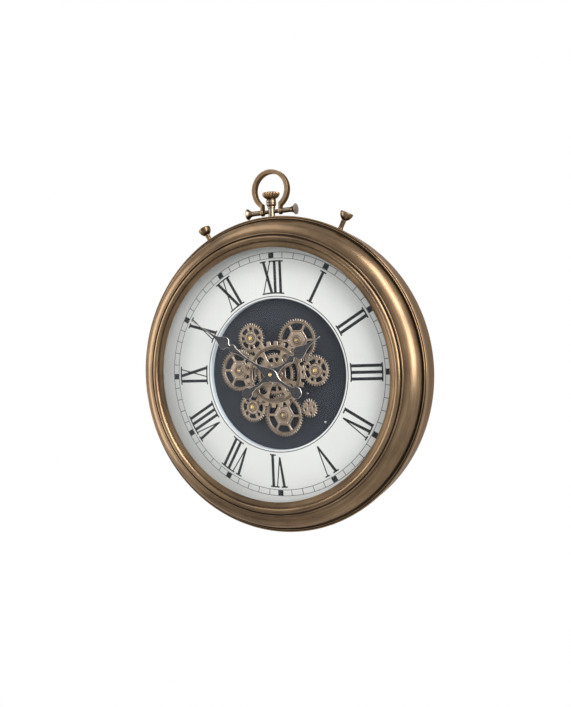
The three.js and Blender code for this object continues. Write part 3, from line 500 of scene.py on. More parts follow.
RIM_BRONZE = turned_bronze("antique_bronze_rim", (0.032, 0.017, 0.008), (0.145, 0.088, 0.042), (0.28, 0.19, 0.105),
                           0.3, 0.45)
DRUM_BRONZE = turned_bronze("antique_bronze_drum", (0.03, 0.017, 0.009), (0.095, 0.057, 0.032), (0.18, 0.118, 0.07),
                            0.34, 0.15)
CROWN_BRONZE = cast_metal("antique_bronze_crown", (0.045, 0.027, 0.014), (0.17, 0.108, 0.058), (0.34, 0.235, 0.135),
                          0.3, hollow_shade=0.92)
STEM_BRONZE = cast_metal("worn_bronze_stem", (0.085, 0.06, 0.04), (0.145, 0.11, 0.078), (0.24, 0.19, 0.145), 0.28,
                         hollow_shade=0.9)
PUSH_BRONZE = cast_metal("dark_bronze_pusher", (0.022, 0.014, 0.008), (0.08, 0.052, 0.03), (0.21, 0.15, 0.095), 0.28,
                         hollow_shade=0.9)
COLLAR_BRONZE = cast_metal("collar_bronze", (0.045, 0.031, 0.019), (0.10, 0.072, 0.047), (0.19, 0.146, 0.10), 0.3,
                           hollow_shade=0.9)
# The knobs' end faces are paler as a painted highlight.
KNOB_FACE_HIGHLIGHT = cast_metal("knob_face_painted_highlight", (0.085, 0.068, 0.053), (0.16, 0.13, 0.105), (0.30, 0.25, 0.20), 0.42)
# The bar's bronze is darkened as painted shade for the shade about the bow's ears.
BAR_BRONZE_SHADED = cast_metal("bar_bronze_painted_shade", (0.014, 0.009, 0.006), (0.038, 0.027, 0.018), (0.10, 0.075, 0.052), 0.25,
                        hollow_shade=0.8, reach=0.01)
KNOB_BRONZE = cast_metal("knob_bronze", (0.03, 0.021, 0.014), (0.085, 0.063, 0.044), (0.26, 0.205, 0.15), 0.27,
                         hollow_shade=0.7)
# The bow's sides are darkened as painted shade.
BOW_BRONZE = cast_metal("antique_bronze_bow", (0.11, 0.071, 0.039), (0.17, 0.114, 0.066), (0.25, 0.176, 0.108), 0.34,
                        hollow_shade=0.5, sides=0.85, reach=0.01)
# The gears take painted shade in hollows and on their sides.
GEAR_BRONZE = cast_metal("matt_gear_bronze", (0.12, 0.085, 0.057), (0.245, 0.18, 0.128), (0.42, 0.33, 0.25), 0.4, 0.6,
                         700.0, 0.00005, 0.9, 0.6, 0.0032)
GEAR_EDGE = cast_metal("worn_gear_edge", (0.28, 0.215, 0.155), (0.45, 0.37, 0.29), (0.66, 0.58, 0.49), 0.3, 0.8,
                       700.0, 0.00003)
PIN_BRASS = cast_metal("pin_brass", (0.36, 0.25, 0.09), (0.58, 0.42, 0.17), (0.74, 0.58, 0.28), 0.26, 1.0, 1500.0,
                       0.00002)
BRIGHT_STEEL = cast_metal("bright_steel", (0.42, 0.42, 0.43), (0.62, 0.62, 0.63), (0.8, 0.8, 0.81), 0.22, 1.0, 1500.0,
                          0.00002)
HAND_EDGE = cast_metal("worn_hand_edge", (0.44, 0.39, 0.32), (0.66, 0.61, 0.54), (0.84, 0.80, 0.74), 0.32, 1.0,
                       1200.0, 0.00002)
ZINC = cast_metal("zinc_plate", (0.32, 0.32, 0.33), (0.48, 0.48, 0.47), (0.64, 0.63, 0.58), 0.34, 1.0, 300.0, 0.00004)
CHARCOAL = painted("charcoal_hand", (0.032, 0.031, 0.035), (0.046, 0.045, 0.050), 0.5, gloss=0.2)
# Painted shadow beside raised edges and painted shade on groove floors, as dark as tarnish.
SHADOW_AND_TARNISH = painted("painted_shadow_and_tarnish", (0.018, 0.013, 0.009), (0.036, 0.027, 0.02), 0.6, 900.0, gloss=0.25)
INK = painted("printing_ink", (0.012, 0.013, 0.016), (0.022, 0.024, 0.029), 0.5, 900.0, 0.00001, gloss=0.2)
WHITE = painted("white_lacquer", (0.735, 0.745, 0.725), (0.785, 0.795, 0.775), 0.38, 260.0, 0.00003, 0.1)
# The well's wall: white lacquer whose bluish tint is a painted reflection.
WALL_BLUE_SHEEN = painted("white_lacquer_painted_blue_sheen", (0.66, 0.76, 0.84), (0.74, 0.83, 0.90), 0.22, 260.0, 0.00003, 0.5)
DARK_BOARD = painted("dark_board", (0.032, 0.036, 0.0455), (0.041, 0.046, 0.0565), 0.7, 800.0, 0.00001, gloss=0.15)
BLACK_PLASTIC = painted("black_plastic", (0.012, 0.012, 0.013), (0.022, 0.022, 0.024), 0.5, 1200.0, 0.00005)
RUBBER = painted("black_rubber", (0.012, 0.012, 0.012), (0.02, 0.02, 0.02), 0.8, 900.0, 0.00004)
# A dark bar on each screw head is painted shade for its slot.
SLOT_SHADE = painted("screw_slot_painted_shade", (0.02, 0.018, 0.016), (0.035, 0.03, 0.028), 0.6)
FIBRE = hardboard()
PANE = clear_glass()
WRAP = cell_wrap()
GEAR_LOOKS = [GEAR_BRONZE, GEAR_EDGE, SHADOW_AND_TARNISH]
SCREW_LOOKS = [BRIGHT_STEEL, SLOT_SHADE]


# Case -----------------------------------------------------------------------------------------

def arc(cx, cy, rx, ry, first, last, steps):
    """Points of (radius, height) on an arc given in degrees."""
    return [(cx + rx * math.cos(a * DEG), cy + ry * math.sin(a * DEG)) for a in np.linspace(first, last, steps)]


def rim_shape():
    profile = [(RIM, -1.0), (RIM, 5.2)]
    profile += arc(298.35, 5.6, 1.65, 1.9, 0, 172, 9)
    profile += arc(295.1, 6.1, 1.55, 1.7, 20, 188, 9)
    profile += [(293.4, 5.0), (292.2, 5.0)]
    profile += arc(265.9, 6.8, 26.0, 25.0, 2, 90, 26)
    profile += arc(264.1, 32.3, 1.75, 1.75, 30, 172, 9)
    profile += [(262.3, 31.2), (261.1, 31.2)]
    profile += arc(255.5, 31.8, 5.5, 5.5, 4, 176, 18)
    profile += [(249.7, 31.0)]
    cove = np.sin(np.linspace(8, 80, 7) * DEG)
    profile += [(249.2 - 9.3 * s, 28.9 + 2.1 * (1 - s) ** 1.5) for s in cove]
    profile += [(OPENING, 28.75), (246.3, 28.6), (246.3, 23.4), (265.9, 27.8)]
    profile += [(288.5, 0.0), (293.2, 0.0), (293.2, 3.4), (296.3, 3.4), (296.3, -1.0)]
    return lathe(profile, 256)


def drum_shape():
    profile = [(FLANGE_IN, -49.7), (FLANGE_IN + 0.3, -50.0), (294.2, -50.0)]
    profile += arc(294.2, -48.2, 1.8, 1.8, -90, 0, 7)
    profile += [(DRUM, 3.1), (DRUM_IN, 3.1), (DRUM_IN, -47.0), (FLANGE_IN, -47.0)]
    return lathe(profile, 256)


def dial_shape():
    # The well's inner wall takes the lacquer with the painted bluish reflection.
    def wall(a, b):
        return 1 if max(a[0], b[0]) < WELL + 1 else 0
    profile = [(WELL, -10.9), (BOARD - 0.2, -11.1), (BOARD, 0.0), (WELL + 0.5, 0.0), (WELL, -0.5)]
    return lathe(profile, 256, wall)


piece("rim", rim_shape(), RIM_BRONZE, "case", ["bezel"], 40)
piece("drum", drum_shape(), DRUM_BRONZE, "case", ["case_drum", "rear_flange"])
piece("dial_ring", dial_shape(), [WHITE, WALL_BLUE_SHEEN], "case", ["chapter_ring"])
retainer = lathe([(242.4, 24.0), (242.7, 23.7), (245.9, 23.7), (245.9, 26.05), (242.4, 26.05)], 192)
piece("retainer_ring", retainer, RUBBER, "case", ["glass_retainer"])
pane = lathe([(0, GLASS_Z), (GLASS - 0.4, GLASS_Z), (GLASS, GLASS_Z + 0.4), (GLASS, GLASS_TOP - 0.4),
              (GLASS - 0.4, GLASS_TOP - 0.02), (0, GLASS_TOP - 0.02)], 192)
piece("glass_pane", pane, PANE, "case", ["glass"])


# Printing -------------------------------------------------------------------------------------

# Radii of the minute track, the serif bars, the V's foot and the line round the well
TRACK_OUT = 1.023 * UNIT
TRACK_IN = 0.973 * UNIT
BAR_OUT = 0.949 * UNIT
BAR_IN = 0.682 * UNIT
VEE_FOOT = 0.696 * UNIT
WELL_LINE = 0.655 * UNIT
SERIF = 2.7
THICK = 5.7
THIN = 2.2


def ring_print(radius, width, z1=0.09, count=256):
    a, b = radius - width / 2, radius + width / 2
    return lathe([(a, 0.0), (b, 0.0), (b, z1), (a, z1)], count)


def on_bar(u, radius):
    return math.sqrt(radius * radius - u * u)


def bar(u0, u1, radius):
    """A serif bar that follows the dial's circle, with slightly rounded ends."""
    def edge(r):
        return [(u, on_bar(u, r)) for u in np.linspace(u0 + 0.5, u1 - 0.5, 9)]
    low, high = edge(radius - SERIF / 2), edge(radius + SERIF / 2)[::-1]
    return prism([*low, (u1, on_bar(u1, radius)), *high, (u0, on_bar(u0, radius))], 0.0, 0.1)


def stroke(u_top, u_foot, width):
    """A straight stroke from the inner to the outer bar, as wide as stated square to itself."""
    top, foot = on_bar(u_top, BAR_OUT), on_bar(u_foot, BAR_IN)
    half = width / 2 * math.hypot(u_top - u_foot, top - foot) / (top - foot)
    return prism([(u_foot - half, foot), (u_foot + half, foot), (u_top + half, top), (u_top - half, top)], 0.0, 0.09)


def vee(thick_top, thin_top, apex):
    top, foot = BAR_OUT, VEE_FOOT
    wide, slim = THICK / 2 + 0.1, THIN / 2
    slope = (apex - 0.4 - thick_top) / (foot - top)
    counter = (apex + 1.3 - slim - thin_top) / (foot - top)
    # where the thick stroke's inner edge meets the thin one's
    inner_thick, inner_thin = thick_top + wide, thin_top - slim
    meet = top + (inner_thin - inner_thick) / (slope - counter)
    join = (inner_thick + slope * (meet - top), meet)
    outline = [(thick_top - wide, top), (apex - 1.7, foot + 1.2), (apex - 0.9, foot), (apex + 0.9, foot),
               (apex + 1.6, foot + 1.2), (thin_top + slim, top), (thin_top - slim, top), join, (thick_top + wide, top)]
    return prism(outline[::-1], 0.0, 0.08)


def letters(spec):
    """I at u, V by its top places and apex, X by its two strokes' ends; then the serif bars."""
    strokes, outer, inner = spec
    shapes = []
    for kind, *at in strokes:
        if kind == "I":
            shapes.append(stroke(at[0], at[0], THICK))
        if kind == "V":
            shapes.append(vee(*at))
        if kind == "X":
            shapes += [stroke(at[0], at[1], THICK), stroke(at[2], at[3], THIN)]
    shapes += [bar(u0, u1, BAR_OUT) for u0, u1 in outer]
    shapes += [bar(u0, u1, BAR_IN) for u0, u1 in inner]
    return join_shapes(shapes)


NUMERALS = {
    1: ([("I", 0)], [(-7, 7)], [(-7, 7)]),
    2: ([("I", -5.6), ("I", 5.6)], [(-11.4, 11.4)], [(-11.4, 11.4)]),
    3: ([("I", -12), ("I", 0), ("I", 12)], [(-17.5, 17.5)], [(-17.5, 17.5)]),
    4: ([("I", -12.2), ("V", 0, 14.1, 4.4)], [(-16, 6.6), (9.4, 18.8)], [(-15.5, -3.4)]),
    5: ([("V", -10.4, 9.4, -1.7)], [(-17, -3.8), (4.7, 15)], []),
    6: ([("V", -8.5, 6.6, -0.7), ("I", 14.6)], [(-15.5, -1.9), (1.9, 21)], [(7.4, 20.2)]),
    7: ([("V", -17.9, -3.8, -9.4), ("I", 6.8), ("I", 18.2)], [(-25.4, -11.3), (-7.5, 26)], [(-0.7, 26)]),
    8: ([("V", -21.7, -6.5, -14.8), ("I", 0.5), ("I", 12.5), ("I", 24.5)], [(-28.3, -15), (-11.3, 31)], [(-6, 30.4)]),
    9: ([("I", -9.6), ("X", 1, 16.5, 14.2, -1.3)], [(-17, 20)], [(-17, 21.6)]),
    10: ([("X", -6.6, 8.8, 7.5, -6.7)], [(-12.8, -1.2), (2.4, 12.2)], [(-13.5, -0.7), (2, 14)]),
    11: ([("X", -14.1, 3.4, 0, -14.2), ("I", 9.9)], [(-20.3, 16.8)], [(-19, 17.5)]),
    12: ([("X", -17, -1, -3, -18.6), ("I", 6.6), ("I", 18)], [(-24.5, -11.3), (-5.7, 25.4)], [(-21.6, 25.6)]),
}


def print_shape():
    whole = ring_print(TRACK_OUT, 0.9) + ring_print(TRACK_IN, 0.9) + ring_print(WELL_LINE, 1.4)
    for minute in range(60):
        wide, inset = (5.5, 0.7) if minute % 5 == 0 else (0.55, 0.0)
        low, high = TRACK_IN + inset, TRACK_OUT - inset
        tick = prism([(-wide, low), (wide, low), (wide, high), (-wide, high)], 0.0, 0.1)
        whole = whole + tick.posed(spin(-6 * minute))
    for hour, spec in NUMERALS.items():
        whole = whole + letters(spec).posed(spin(-30 * hour))
    return whole


piece("dial_print", print_shape(), INK, "case")


# Dark board at the bottom of the well ------------------------------------------------------------

# Module, then each follower's driver, teeth and direction from it in degrees, as in the part's source
MODULE = 1.65625
TRAIN = {
    "left": ("sun", 48, 173.4), "upper_right": ("sun", 48, 52.4), "lower": ("sun", 48, -79.9),
    "upper_left": ("left", 34, 65), "right": ("upper_right", 34, -58.4),
    "lower_left": ("lower", 34, 166.6), "lower_right": ("lower", 20, 13.7),
}

# Each wheel's centre and teeth, and its phase: a tooth of one stands in a space of the other
AT = {"sun": (0.0, 0.0, 48)}
PHASE = {"sun": 0.02}
for name, (driver, teeth, angle) in TRAIN.items():
    x, y, driving = AT[driver]
    reach = (driving + teeth) * MODULE / 2
    AT[name] = x + reach * math.cos(angle * DEG), y + reach * math.sin(angle * DEG), teeth
    turns = math.fmod((angle * DEG - PHASE[driver]) * driving / (2 * math.pi), 1)
    PHASE[name] = (angle + 180) * DEG - (0.5 - turns) * 2 * math.pi / teeth


def screw_shape(radius, base, height, turn=0.0):
    """A small domed screw with a slot, drawn as a dark bar of painted shade."""
    dome = lathe(up(base, (0, -0.2), (radius, -0.2), (radius, height * 0.35), (radius * 0.8, height * 0.8),
                    (radius * 0.4, height), (0, height)), 14)
    long, wide = radius * 0.72, radius * 0.13
    slot = prism([(-long, -wide), (long, -wide), (long, wide), (-long, wide)],
                 base + height * 0.7, base + height * 1.02).look(1)
    return (dome + slot).posed(spin(turn))


def board_shape():
    holes = [circle(5.3, 24), circle(3.2, 20, *AT["lower"][:2])]
    return plate(circle(BOARD, 192), holes, DISC_Z - 3, DISC_Z, 0.15)


piece("well_board", board_shape(), DARK_BOARD, "case", ["disc_board"])
for number, (x, y) in enumerate([(59.2, -37.7), (94.5, -92.1)]):
    made = screw_shape(2.0, DISC_Z, 1.1, 37 * number).moved(x, y)
    piece(f"board_screw_{number + 1}", made, SCREW_LOOKS, "case")


# Wheel train ------------------------------------------------------------------------------------

def toothed(count, phase, flank):
    """A wheel's outline from one tooth's flank: radii, and angles off the middle of the tooth."""
    points = []
    for i in range(count):
        at = phase + 2 * math.pi * i / count
        points += [polar(r, at - turn) for r, turn in flank] + [polar(r, at + turn) for r, turn in reversed(flank)]
    return points


def teeth_outline(teeth, phase):
    """Pointed teeth with rounded tips and round roots, inside the CAD outline."""
    pitch = teeth * MODULE / 2
    tip, root, step = pitch + 1.2, pitch - 2.9, 2 * math.pi / teeth
    half = 0.39 / tip
    flank = [(root, 0.37 * step), (root + 0.7, 0.21 * step), (tip - 0.45, half * 1.1), (tip, half * 0.5)]
    return toothed(teeth, phase, flank)


def window(inner, outer, middle, half, reach=3.2, foot=None):
    """A window between two spokes with rounded corners, its angles in degrees."""
    foot = half if foot is None else foot
    points = [polar(outer, (middle + t) * DEG) for t in np.linspace(-half, half, 15)]
    points += [polar(inner, (middle + foot) * DEG), polar(inner, (middle - foot) * DEG)]
    return soften(points, 0.7, reach)


def windowed_disc(look, phase, bore):
    rim, hub = 32.25, 20.8
    holes = [circle(bore, 28)]
    for i in range(6):
        half, foot = (30 - math.asin(2 / r) / DEG for r in (rim, hub))
        holes.append(window(hub, rim, look + 30 + 60 * i, half, 3.2, foot))
    return plate(teeth_outline(48, phase), holes, GEAR_Z, GEAR_TOP, 0.25, 0, 1)


def hex_outline(radius, look):
    return soften([polar(radius, (look + 60 * i) * DEG) for i in range(6)], 0.6, 2.4)


def tiny_screws(radius, count, first, base, size, height):
    """Screws on a circle, each with its slot turned on from the last."""
    return join_shapes([screw_shape(size, base, height, 29 * i).moved(*polar(radius, (first + 360 * i / count) * DEG))
                        for i in range(count)])


def shadow_ring(inner, outer, top):
    """Painted shadow beside a raised edge, as dark as tarnish."""
    return lathe(up(top, (inner, -0.1), (outer, -0.1), (outer, 0.05), (inner, 0.05)), 72).look(2)


def grooved(profile, count, height):
    """A turned ring whose groove, the flat at this height, has the dark look of painted shade."""
    return lathe(profile, count, lambda a, b: 2 if a[1] == b[1] == height else 0)


def large_wheel(name, look, body):
    """Six windows, a raised ring, a six-sided plate and a boss. Its screws clear the coarse wheel."""
    disc = windowed_disc(look, PHASE[name], 3.05)
    rim_ring = lathe(up(GEAR_TOP, (33.5, -0.1), (35.1, -0.1), (34.9, 0.28), (33.7, 0.28)), 96)
    # Painted shadows beside the raised ring and round the six-sided plate.
    rim_shadow = shadow_ring(32.6, 33.55, GEAR_TOP) + shadow_ring(35.05, 35.8, GEAR_TOP)
    hex_shadow = prism(hex_outline(19.5, look), GEAR_TOP - 0.1, GEAR_TOP + 0.05).look(2)
    hexagon = plate(hex_outline(18.35, look), [circle(3.05, 28)], GEAR_TOP - 0.2, PLATE_TOP, 0.35, 1, 1)
    # The boss's groove floor is painted shade, and a painted shadow ring lies round the boss.
    boss = grooved([(3.05, PLATE_TOP - 0.2), (3.05, 3.9), (3.5, BOSS_TOP), (5.4, BOSS_TOP), (5.9, 3.6), (6.7, 3.6),
                    (7.1, 4.25), (8.2, 4.25), (8.7, 3.8), (8.7, PLATE_TOP - 0.2)], 56, 3.6)
    boss_shadow = shadow_ring(8.65, 9.6, PLATE_TOP)
    x, y, _ = AT[name]
    wheel = join_shapes([disc, rim_ring, rim_shadow, hex_shadow, hexagon, boss, boss_shadow]).moved(x, y)
    piece(f"wheel_{name}_disc", wheel, GEAR_LOOKS, body, [f"gear_{name}"])
    screws = tiny_screws(16.3, 6, look, PLATE_TOP, 1.15, 0.4).moved(x, y)
    piece(f"wheel_{name}_screws", screws, SCREW_LOOKS, body)


def small_wheel(name, look, body):
    """Four slots, four round holes and a grooved hub."""
    x, y, _ = AT[name]
    rim, hub = 21.86, 14.43
    holes = [circle(4.35, 28)]
    for i in range(4):
        holes.append(circle((rim - hub) / 2, 22, *polar((rim + hub) / 2, (look + 90 * i) * DEG)))
        holes.append(window(hub, rim, look + 45 + 90 * i, 22, 2.6))
    disc = plate(teeth_outline(34, PHASE[name]), holes, GEAR_Z, GEAR_TOP, 0.25, 0, 1)
    # The hub's groove floor takes painted shade.
    hub_disc = grooved([(4.35, GEAR_TOP - 0.2), (4.35, 2.6), (4.8, PLATE_TOP), (7.0, PLATE_TOP), (7.4, 2.3),
                        (8.1, 2.3), (8.5, PLATE_TOP - 0.1), (12.6, PLATE_TOP - 0.1), (13.2, 2.4),
                        (13.2, GEAR_TOP - 0.2)], 64, 2.3)
    # A painted shadow ring lies round the hub.
    wheel = (disc + hub_disc + shadow_ring(13.15, 14.1, GEAR_TOP)).moved(x, y)
    piece(f"wheel_{name}_disc", wheel, GEAR_LOOKS, body, [f"gear_{name}"])
    screws = tiny_screws(10.6, 6, look + 15, PLATE_TOP - 0.1, 0.95, 0.6).moved(x, y)
    piece(f"wheel_{name}_screws", screws, SCREW_LOOKS, body)


def tiny_wheel():
    x, y, _ = AT["lower_right"]
    holes = [circle(2.5, 18, *polar(9.13125, (15 + 90 * i) * DEG)) for i in range(4)]
    holes.insert(0, circle(3.75, 24))
    disc = plate(teeth_outline(20, PHASE["lower_right"]), holes, GEAR_Z, GEAR_TOP, 0.3, 0, 1)
    piece("wheel_lower_right_disc", disc.moved(x, y), GEAR_LOOKS, "pinion_lower_right", ["gear_lower_right"])


def pin_shape(radius, top, foot):
    """A pin with a turned, domed head on the given foot."""
    head = up(top, (radius, -1.3), (radius - 0.25, -0.7), (radius * 0.72, -0.25), (radius * 0.38, 0), (0, 0))
    return lathe(foot + head, 28)


def fixed_pin(name, radius, top, look=PIN_BRASS):
    """A shouldered pin that stands on the dark board."""
    foot = [(0, DISC_Z), (5.6, DISC_Z), (6.0, DISC_Z + 0.4), (6.0, -2.1), (5.6, -1.7), (radius, -1.7)]
    pin = pin_shape(radius, top, foot).moved(*AT[name][:2])
    piece(f"pin_{name}", pin, look, "case", [f"post_{name}"])


large_wheel("left", -2, "wheel_left")
large_wheel("upper_right", 0, "wheel_upper_right")
large_wheel("lower", -2, "wheel_lower")
small_wheel("upper_left", 0, "idler_upper_left")
small_wheel("right", 64.5, "idler_right")
small_wheel("lower_left", 40, "idler_lower_left")
tiny_wheel()
for name in ("left", "upper_right"):
    fixed_pin(name, 2.7, BOSS_TOP + 1.6)
for name in ("upper_left", "right", "lower_left"):
    fixed_pin(name, 4.0, PLATE_TOP + 1.6)
fixed_pin("lower_right", 3.4, GEAR_TOP + 0.8, GEAR_BRONZE)
shaft = [(0, -23.4), (2.3, -23.4), (2.7, -23.0), (2.7, -11.1), (5.6, -11.1), (6.0, -10.7), (6.0, -1.8), (5.6, -1.4),
         (2.7, -1.4)]
shaft = pin_shape(2.7, BOSS_TOP + 1.6, shaft).moved(*AT["lower"][:2])
piece("pin_lower", shaft, PIN_BRASS, "wheel_lower", ["drive_shaft"])
piece("sun_disc", windowed_disc(34, PHASE["sun"], 5.35), GEAR_LOOKS, "train", ["sun_gear"])


def front_wheel_shape():
    """The coarse wheel in front: square teeth, four windows, four holes and a grooved ring."""
    root, tip, half = 56.1, 63.6, 4.1
    flank = [(root, (half + 1.5) / root), (root + 0.6, (half + 0.45) / root), (tip - 0.5, half / tip),
             (tip, (half - 0.5) / tip)]
    outline = toothed(24, 10.3 * DEG, flank)
    holes = [circle(5.35, 32)]
    for i in range(4):
        holes.append(window(25.1, 48.2, 4 + 90 * i, 22.5, 4.5))
        holes.append(circle(8.44, 36, *polar(39.5, (49 + 90 * i) * DEG)))
    body = plate(outline, holes, FRONT_Z, FRONT_TOP, 0.3, 0, 1)
    # The ring's groove floor takes painted shade.
    ring = grooved([(50.2, FRONT_TOP - 0.1), (50.2, 6.1), (50.5, 6.4), (51.0, 6.4), (51.25, 5.95), (51.6, 5.95),
                    (51.8, 6.4), (52.3, 6.4), (52.6, 6.1), (52.6, FRONT_TOP - 0.1)], 128, 5.95)
    seat = lathe([(5.35, GEAR_TOP), (15.0, GEAR_TOP), (15.0, FRONT_Z + 0.2), (5.35, FRONT_Z + 0.2)], 48)
    # Painted shadows beside the grooved ring and round the seat.
    dark = [shadow_ring(inner, outer, FRONT_TOP) for inner, outer in ((49.1, 50.25), (52.55, 53.7), (14.95, 16.2))]
    return join_shapes([body, ring, *dark, seat])


piece("front_wheel_disc", front_wheel_shape(), GEAR_LOOKS, "train", ["front_wheel"])


def hub_shape():
    """The lobed plate on its stem, over the coarse wheel."""
    around = np.arange(96) * 2 * math.pi / 96
    outline = [polar(20.0 + 1.5 * math.cos(8 * a), a) for a in around]
    stem = lathe([(5.35, FRONT_TOP), (15.0, FRONT_TOP), (15.0, BUSH_TOP + 0.1), (5.35, BUSH_TOP + 0.1)], 64)
    flower = plate(outline, [circle(5.35, 32)], BUSH_TOP - 0.2, 13.4, 0.6, 2, 1)
    boss = lathe([(5.35, 13.2), (5.35, 14.9), (5.9, 15.4), (8.4, 15.4), (9.0, 14.9), (9.0, 13.2)], 48)
    # The last ring is a painted shadow round the boss.
    return join_shapes([stem, flower, boss, shadow_ring(8.95, 10.2, 13.4)])


piece("hub_disc", hub_shape(), GEAR_LOOKS, "train", ["hub_cup"])
piece("hub_screws", tiny_screws(17.0, 8, 0, 13.4, 1.5, 1.0), SCREW_LOOKS, "train")


# Hands ------------------------------------------------------------------------------------------

HAND_HUB = [(-48, 4.4), (-40, 3), (-24, 3), (-15.5, 6.5), (-9, 10.4), (0, 12), (7.5, 10.4)]
MINUTE_STATIONS = HAND_HUB + [
    (15, 8), (24, 5), (35, 3), (48, 1.9), (60, 2), (72, 2.9), (86, 4.8), (100, 7.2), (103.5, 2.2), (107, 5),
    (110.5, 10), (116.5, 12.4), (123, 10.6), (131, 6.4), (141, 3.2), (152, 1.8), (204, 0.6),
]
HOUR_STATIONS = HAND_HUB + [
    (15, 7), (24, 3.8), (34, 2.5), (42, 3), (55.5, 6.2), (59.5, 2.2), (62.5, 5), (66, 10), (72.5, 12.3),
    (79.5, 10.2), (88, 6.2), (98, 3.4), (108, 1.7), (124.5, 0.6),
]


# The round disc at a hand's tail: where it stands and its radius
TAIL_AT = -63
TAIL_RADIUS = 11.3


def hand_outline(stations):
    """The CAD outline with its curves drawn fine: a smooth run between stations of place and half width."""
    tail = (polar(TAIL_RADIUS, t * DEG) for t in np.linspace(8, 150, 16))
    edge = [(TAIL_AT - x, y) for x, y in tail]
    along, half = np.array(stations, float).T
    slopes = np.gradient(half, along)
    for k in range(len(stations) - 1):
        h = along[k + 1] - along[k]
        d0 = (half[k + 1] - half[k]) / h
        m0, m1 = slopes[k], slopes[k + 1]
        limit = 3 * abs(d0)
        m0, m1 = max(-limit, min(limit, m0)), max(-limit, min(limit, m1))
        for t in np.linspace(0, 1, max(2, int(h / 1.4)), endpoint=False):
            value = ((2 * t ** 3 - 3 * t ** 2 + 1) * half[k] + (t ** 3 - 2 * t ** 2 + t) * h * m0
                     + (-2 * t ** 3 + 3 * t ** 2) * half[k + 1] + (t ** 3 - t ** 2) * h * m1)
            edge.append((along[k] + t * h, value))
    edge.append((along[-1], half[-1]))
    right = [(h, a) for a, h in edge]
    left = [(-h, a) for a, h in reversed(edge)]
    return [(0, TAIL_AT - TAIL_RADIUS), *right, *left]


for name, stations, bore, z0, z1, angle in (
    ("hour", HOUR_STATIONS, 3.3, HOUR_Z, HOUR_TOP, HOUR_ANGLE),
    ("minute", MINUTE_STATIONS, 2.05, MINUTE_Z, MINUTE_TOP, MINUTE_ANGLE),
):
    hand = plate(hand_outline(stations), [circle(bore, 28)], z0, z1, 0.5, 0, 1).posed(spin(-angle))
    piece(f"{name}_pointer", hand, [CHARCOAL, HAND_EDGE], name, [f"{name}_hand"], 20)
nut = up(MINUTE_TOP, (0, 0), (3.5, 0), (3.7, 0.2), (3.7, 1.0), (3.45, 1.5), (2.7, 2.0))
nut = lathe([*nut, (1.4, NUT_TOP), (0, NUT_TOP)], 36)
piece("hand_nut_dome", nut, PIN_BRASS, "minute", ["hand_nut"])


# Crown, bar, bow and pushers ----------------------------------------------------------------------

# Where the crown group's shapes go, the crown's own standing up
TO_BAR = shift(0, BAR_Y, CROWN_Z)
TO_CROWN = shift(0, 0, CROWN_Z)


def stem_shape():
    """The crown's foot, neck and collar; the collar has its own look."""
    profile = up(NECK_Y, (0, 0), (9.4, 0), (9.7, 0.5), (9.1, 1.1), (7.2, 2.4), (6.5, 4.2), (6.3, 6.5))
    profile += up(COLLAR_Y, (6.3, -3.4), (6.6, -3.0), (7.7, -2.4), (7.7, -0.7), (7.0, -0.3), (7.0, 0.3), (8.3, 1.6),
                  (9.2, 2.9), (9.5, 4.0), (9.5, 6.4), (8.9, 6.8), (8.9, 7.3), (9.5, 7.7))
    profile += up(CROWN_Y, (9.5, -3.7), (8.9, -3.3), (8.9, -2.8), (9.4, -2.5), (8.5, -0.6), (8.3, 0), (0, 0))
    def collar(a, b):
        return 1 if min(a[1], b[1]) > COLLAR_Y else 0
    return lathe(profile, 64, collar).posed(TO_CROWN @ UPRIGHT)


def crown_shape():
    """A bowl with round-backed flutes: shares of its height and radius, and the flutes' depth."""
    stations = [(0, 0.52, 0.0), (0.06, 0.6, 0.5), (0.2, 0.74, 0.9), (0.36, 0.86, 1.0), (0.52, 0.935, 1.0),
                (0.7, 0.985, 1.0), (0.84, 1.0, 1.0), (0.93, 0.985, 0.9), (0.98, 0.945, 0.5), (1.0, 0.88, 0.0)]
    flutes, steps = 18, 180
    rings = []
    for height, scale, depth in stations:
        ring = []
        for a in np.arange(steps) * 2 * math.pi / steps:
            groove = 1 - 0.13 * depth * (1 - abs(math.cos(a * flutes / 2)) ** 0.7)
            ring.append((*polar(CROWN_RADIUS * scale * groove, a), CROWN_Y + CROWN_HEIGHT * height))
        rings.append(ring)
    return loft(rings).posed(TO_CROWN @ UPRIGHT)


def knob_shape(side):
    """A beaded shank and a flared knob, whose end face has its own look: paler, as a painted highlight."""
    knob = 40.0
    profile = up(BAR_HALF, (0, 0), (4.5, 0), (4.8, 0.3), (4.8, 2.2), (4.3, 2.5), (4.3, 3.2), (4.8, 3.5))
    profile += up(knob, (4.8, -1.4), (4.3, -1.0), (4.3, -0.3), (4.9, 0.2), (5.1, 2.2), (5.6, 4.4), (6.6, 6.6),
                  (8.1, 8.6), (9.8, 10.4), (10.4, 11.1), (10.6, 11.6), (10.3, 12.4), (9.6, 12.8), (6.0, 13.3),
                  (0, 13.5))
    def face(a, b):
        return 1 if min(a[1], b[1]) > knob + 12 else 0
    return lathe(profile, 56, face).posed(TO_BAR @ spin(90 * side, "Y"))


def bar_shape():
    """A rod with a narrow groove on each side of its middle."""
    groove = BAR_RADIUS - 0.3
    half = [(BAR_RADIUS, 7.5), (groove, 7.8), (groove, 8.3), (BAR_RADIUS, 8.6), (BAR_RADIUS, BAR_HALF), (0, BAR_HALF)]
    profile = [(r, -h) for r, h in reversed(half)] + half
    return lathe(profile, 40).posed(TO_BAR @ SIDEWAYS)


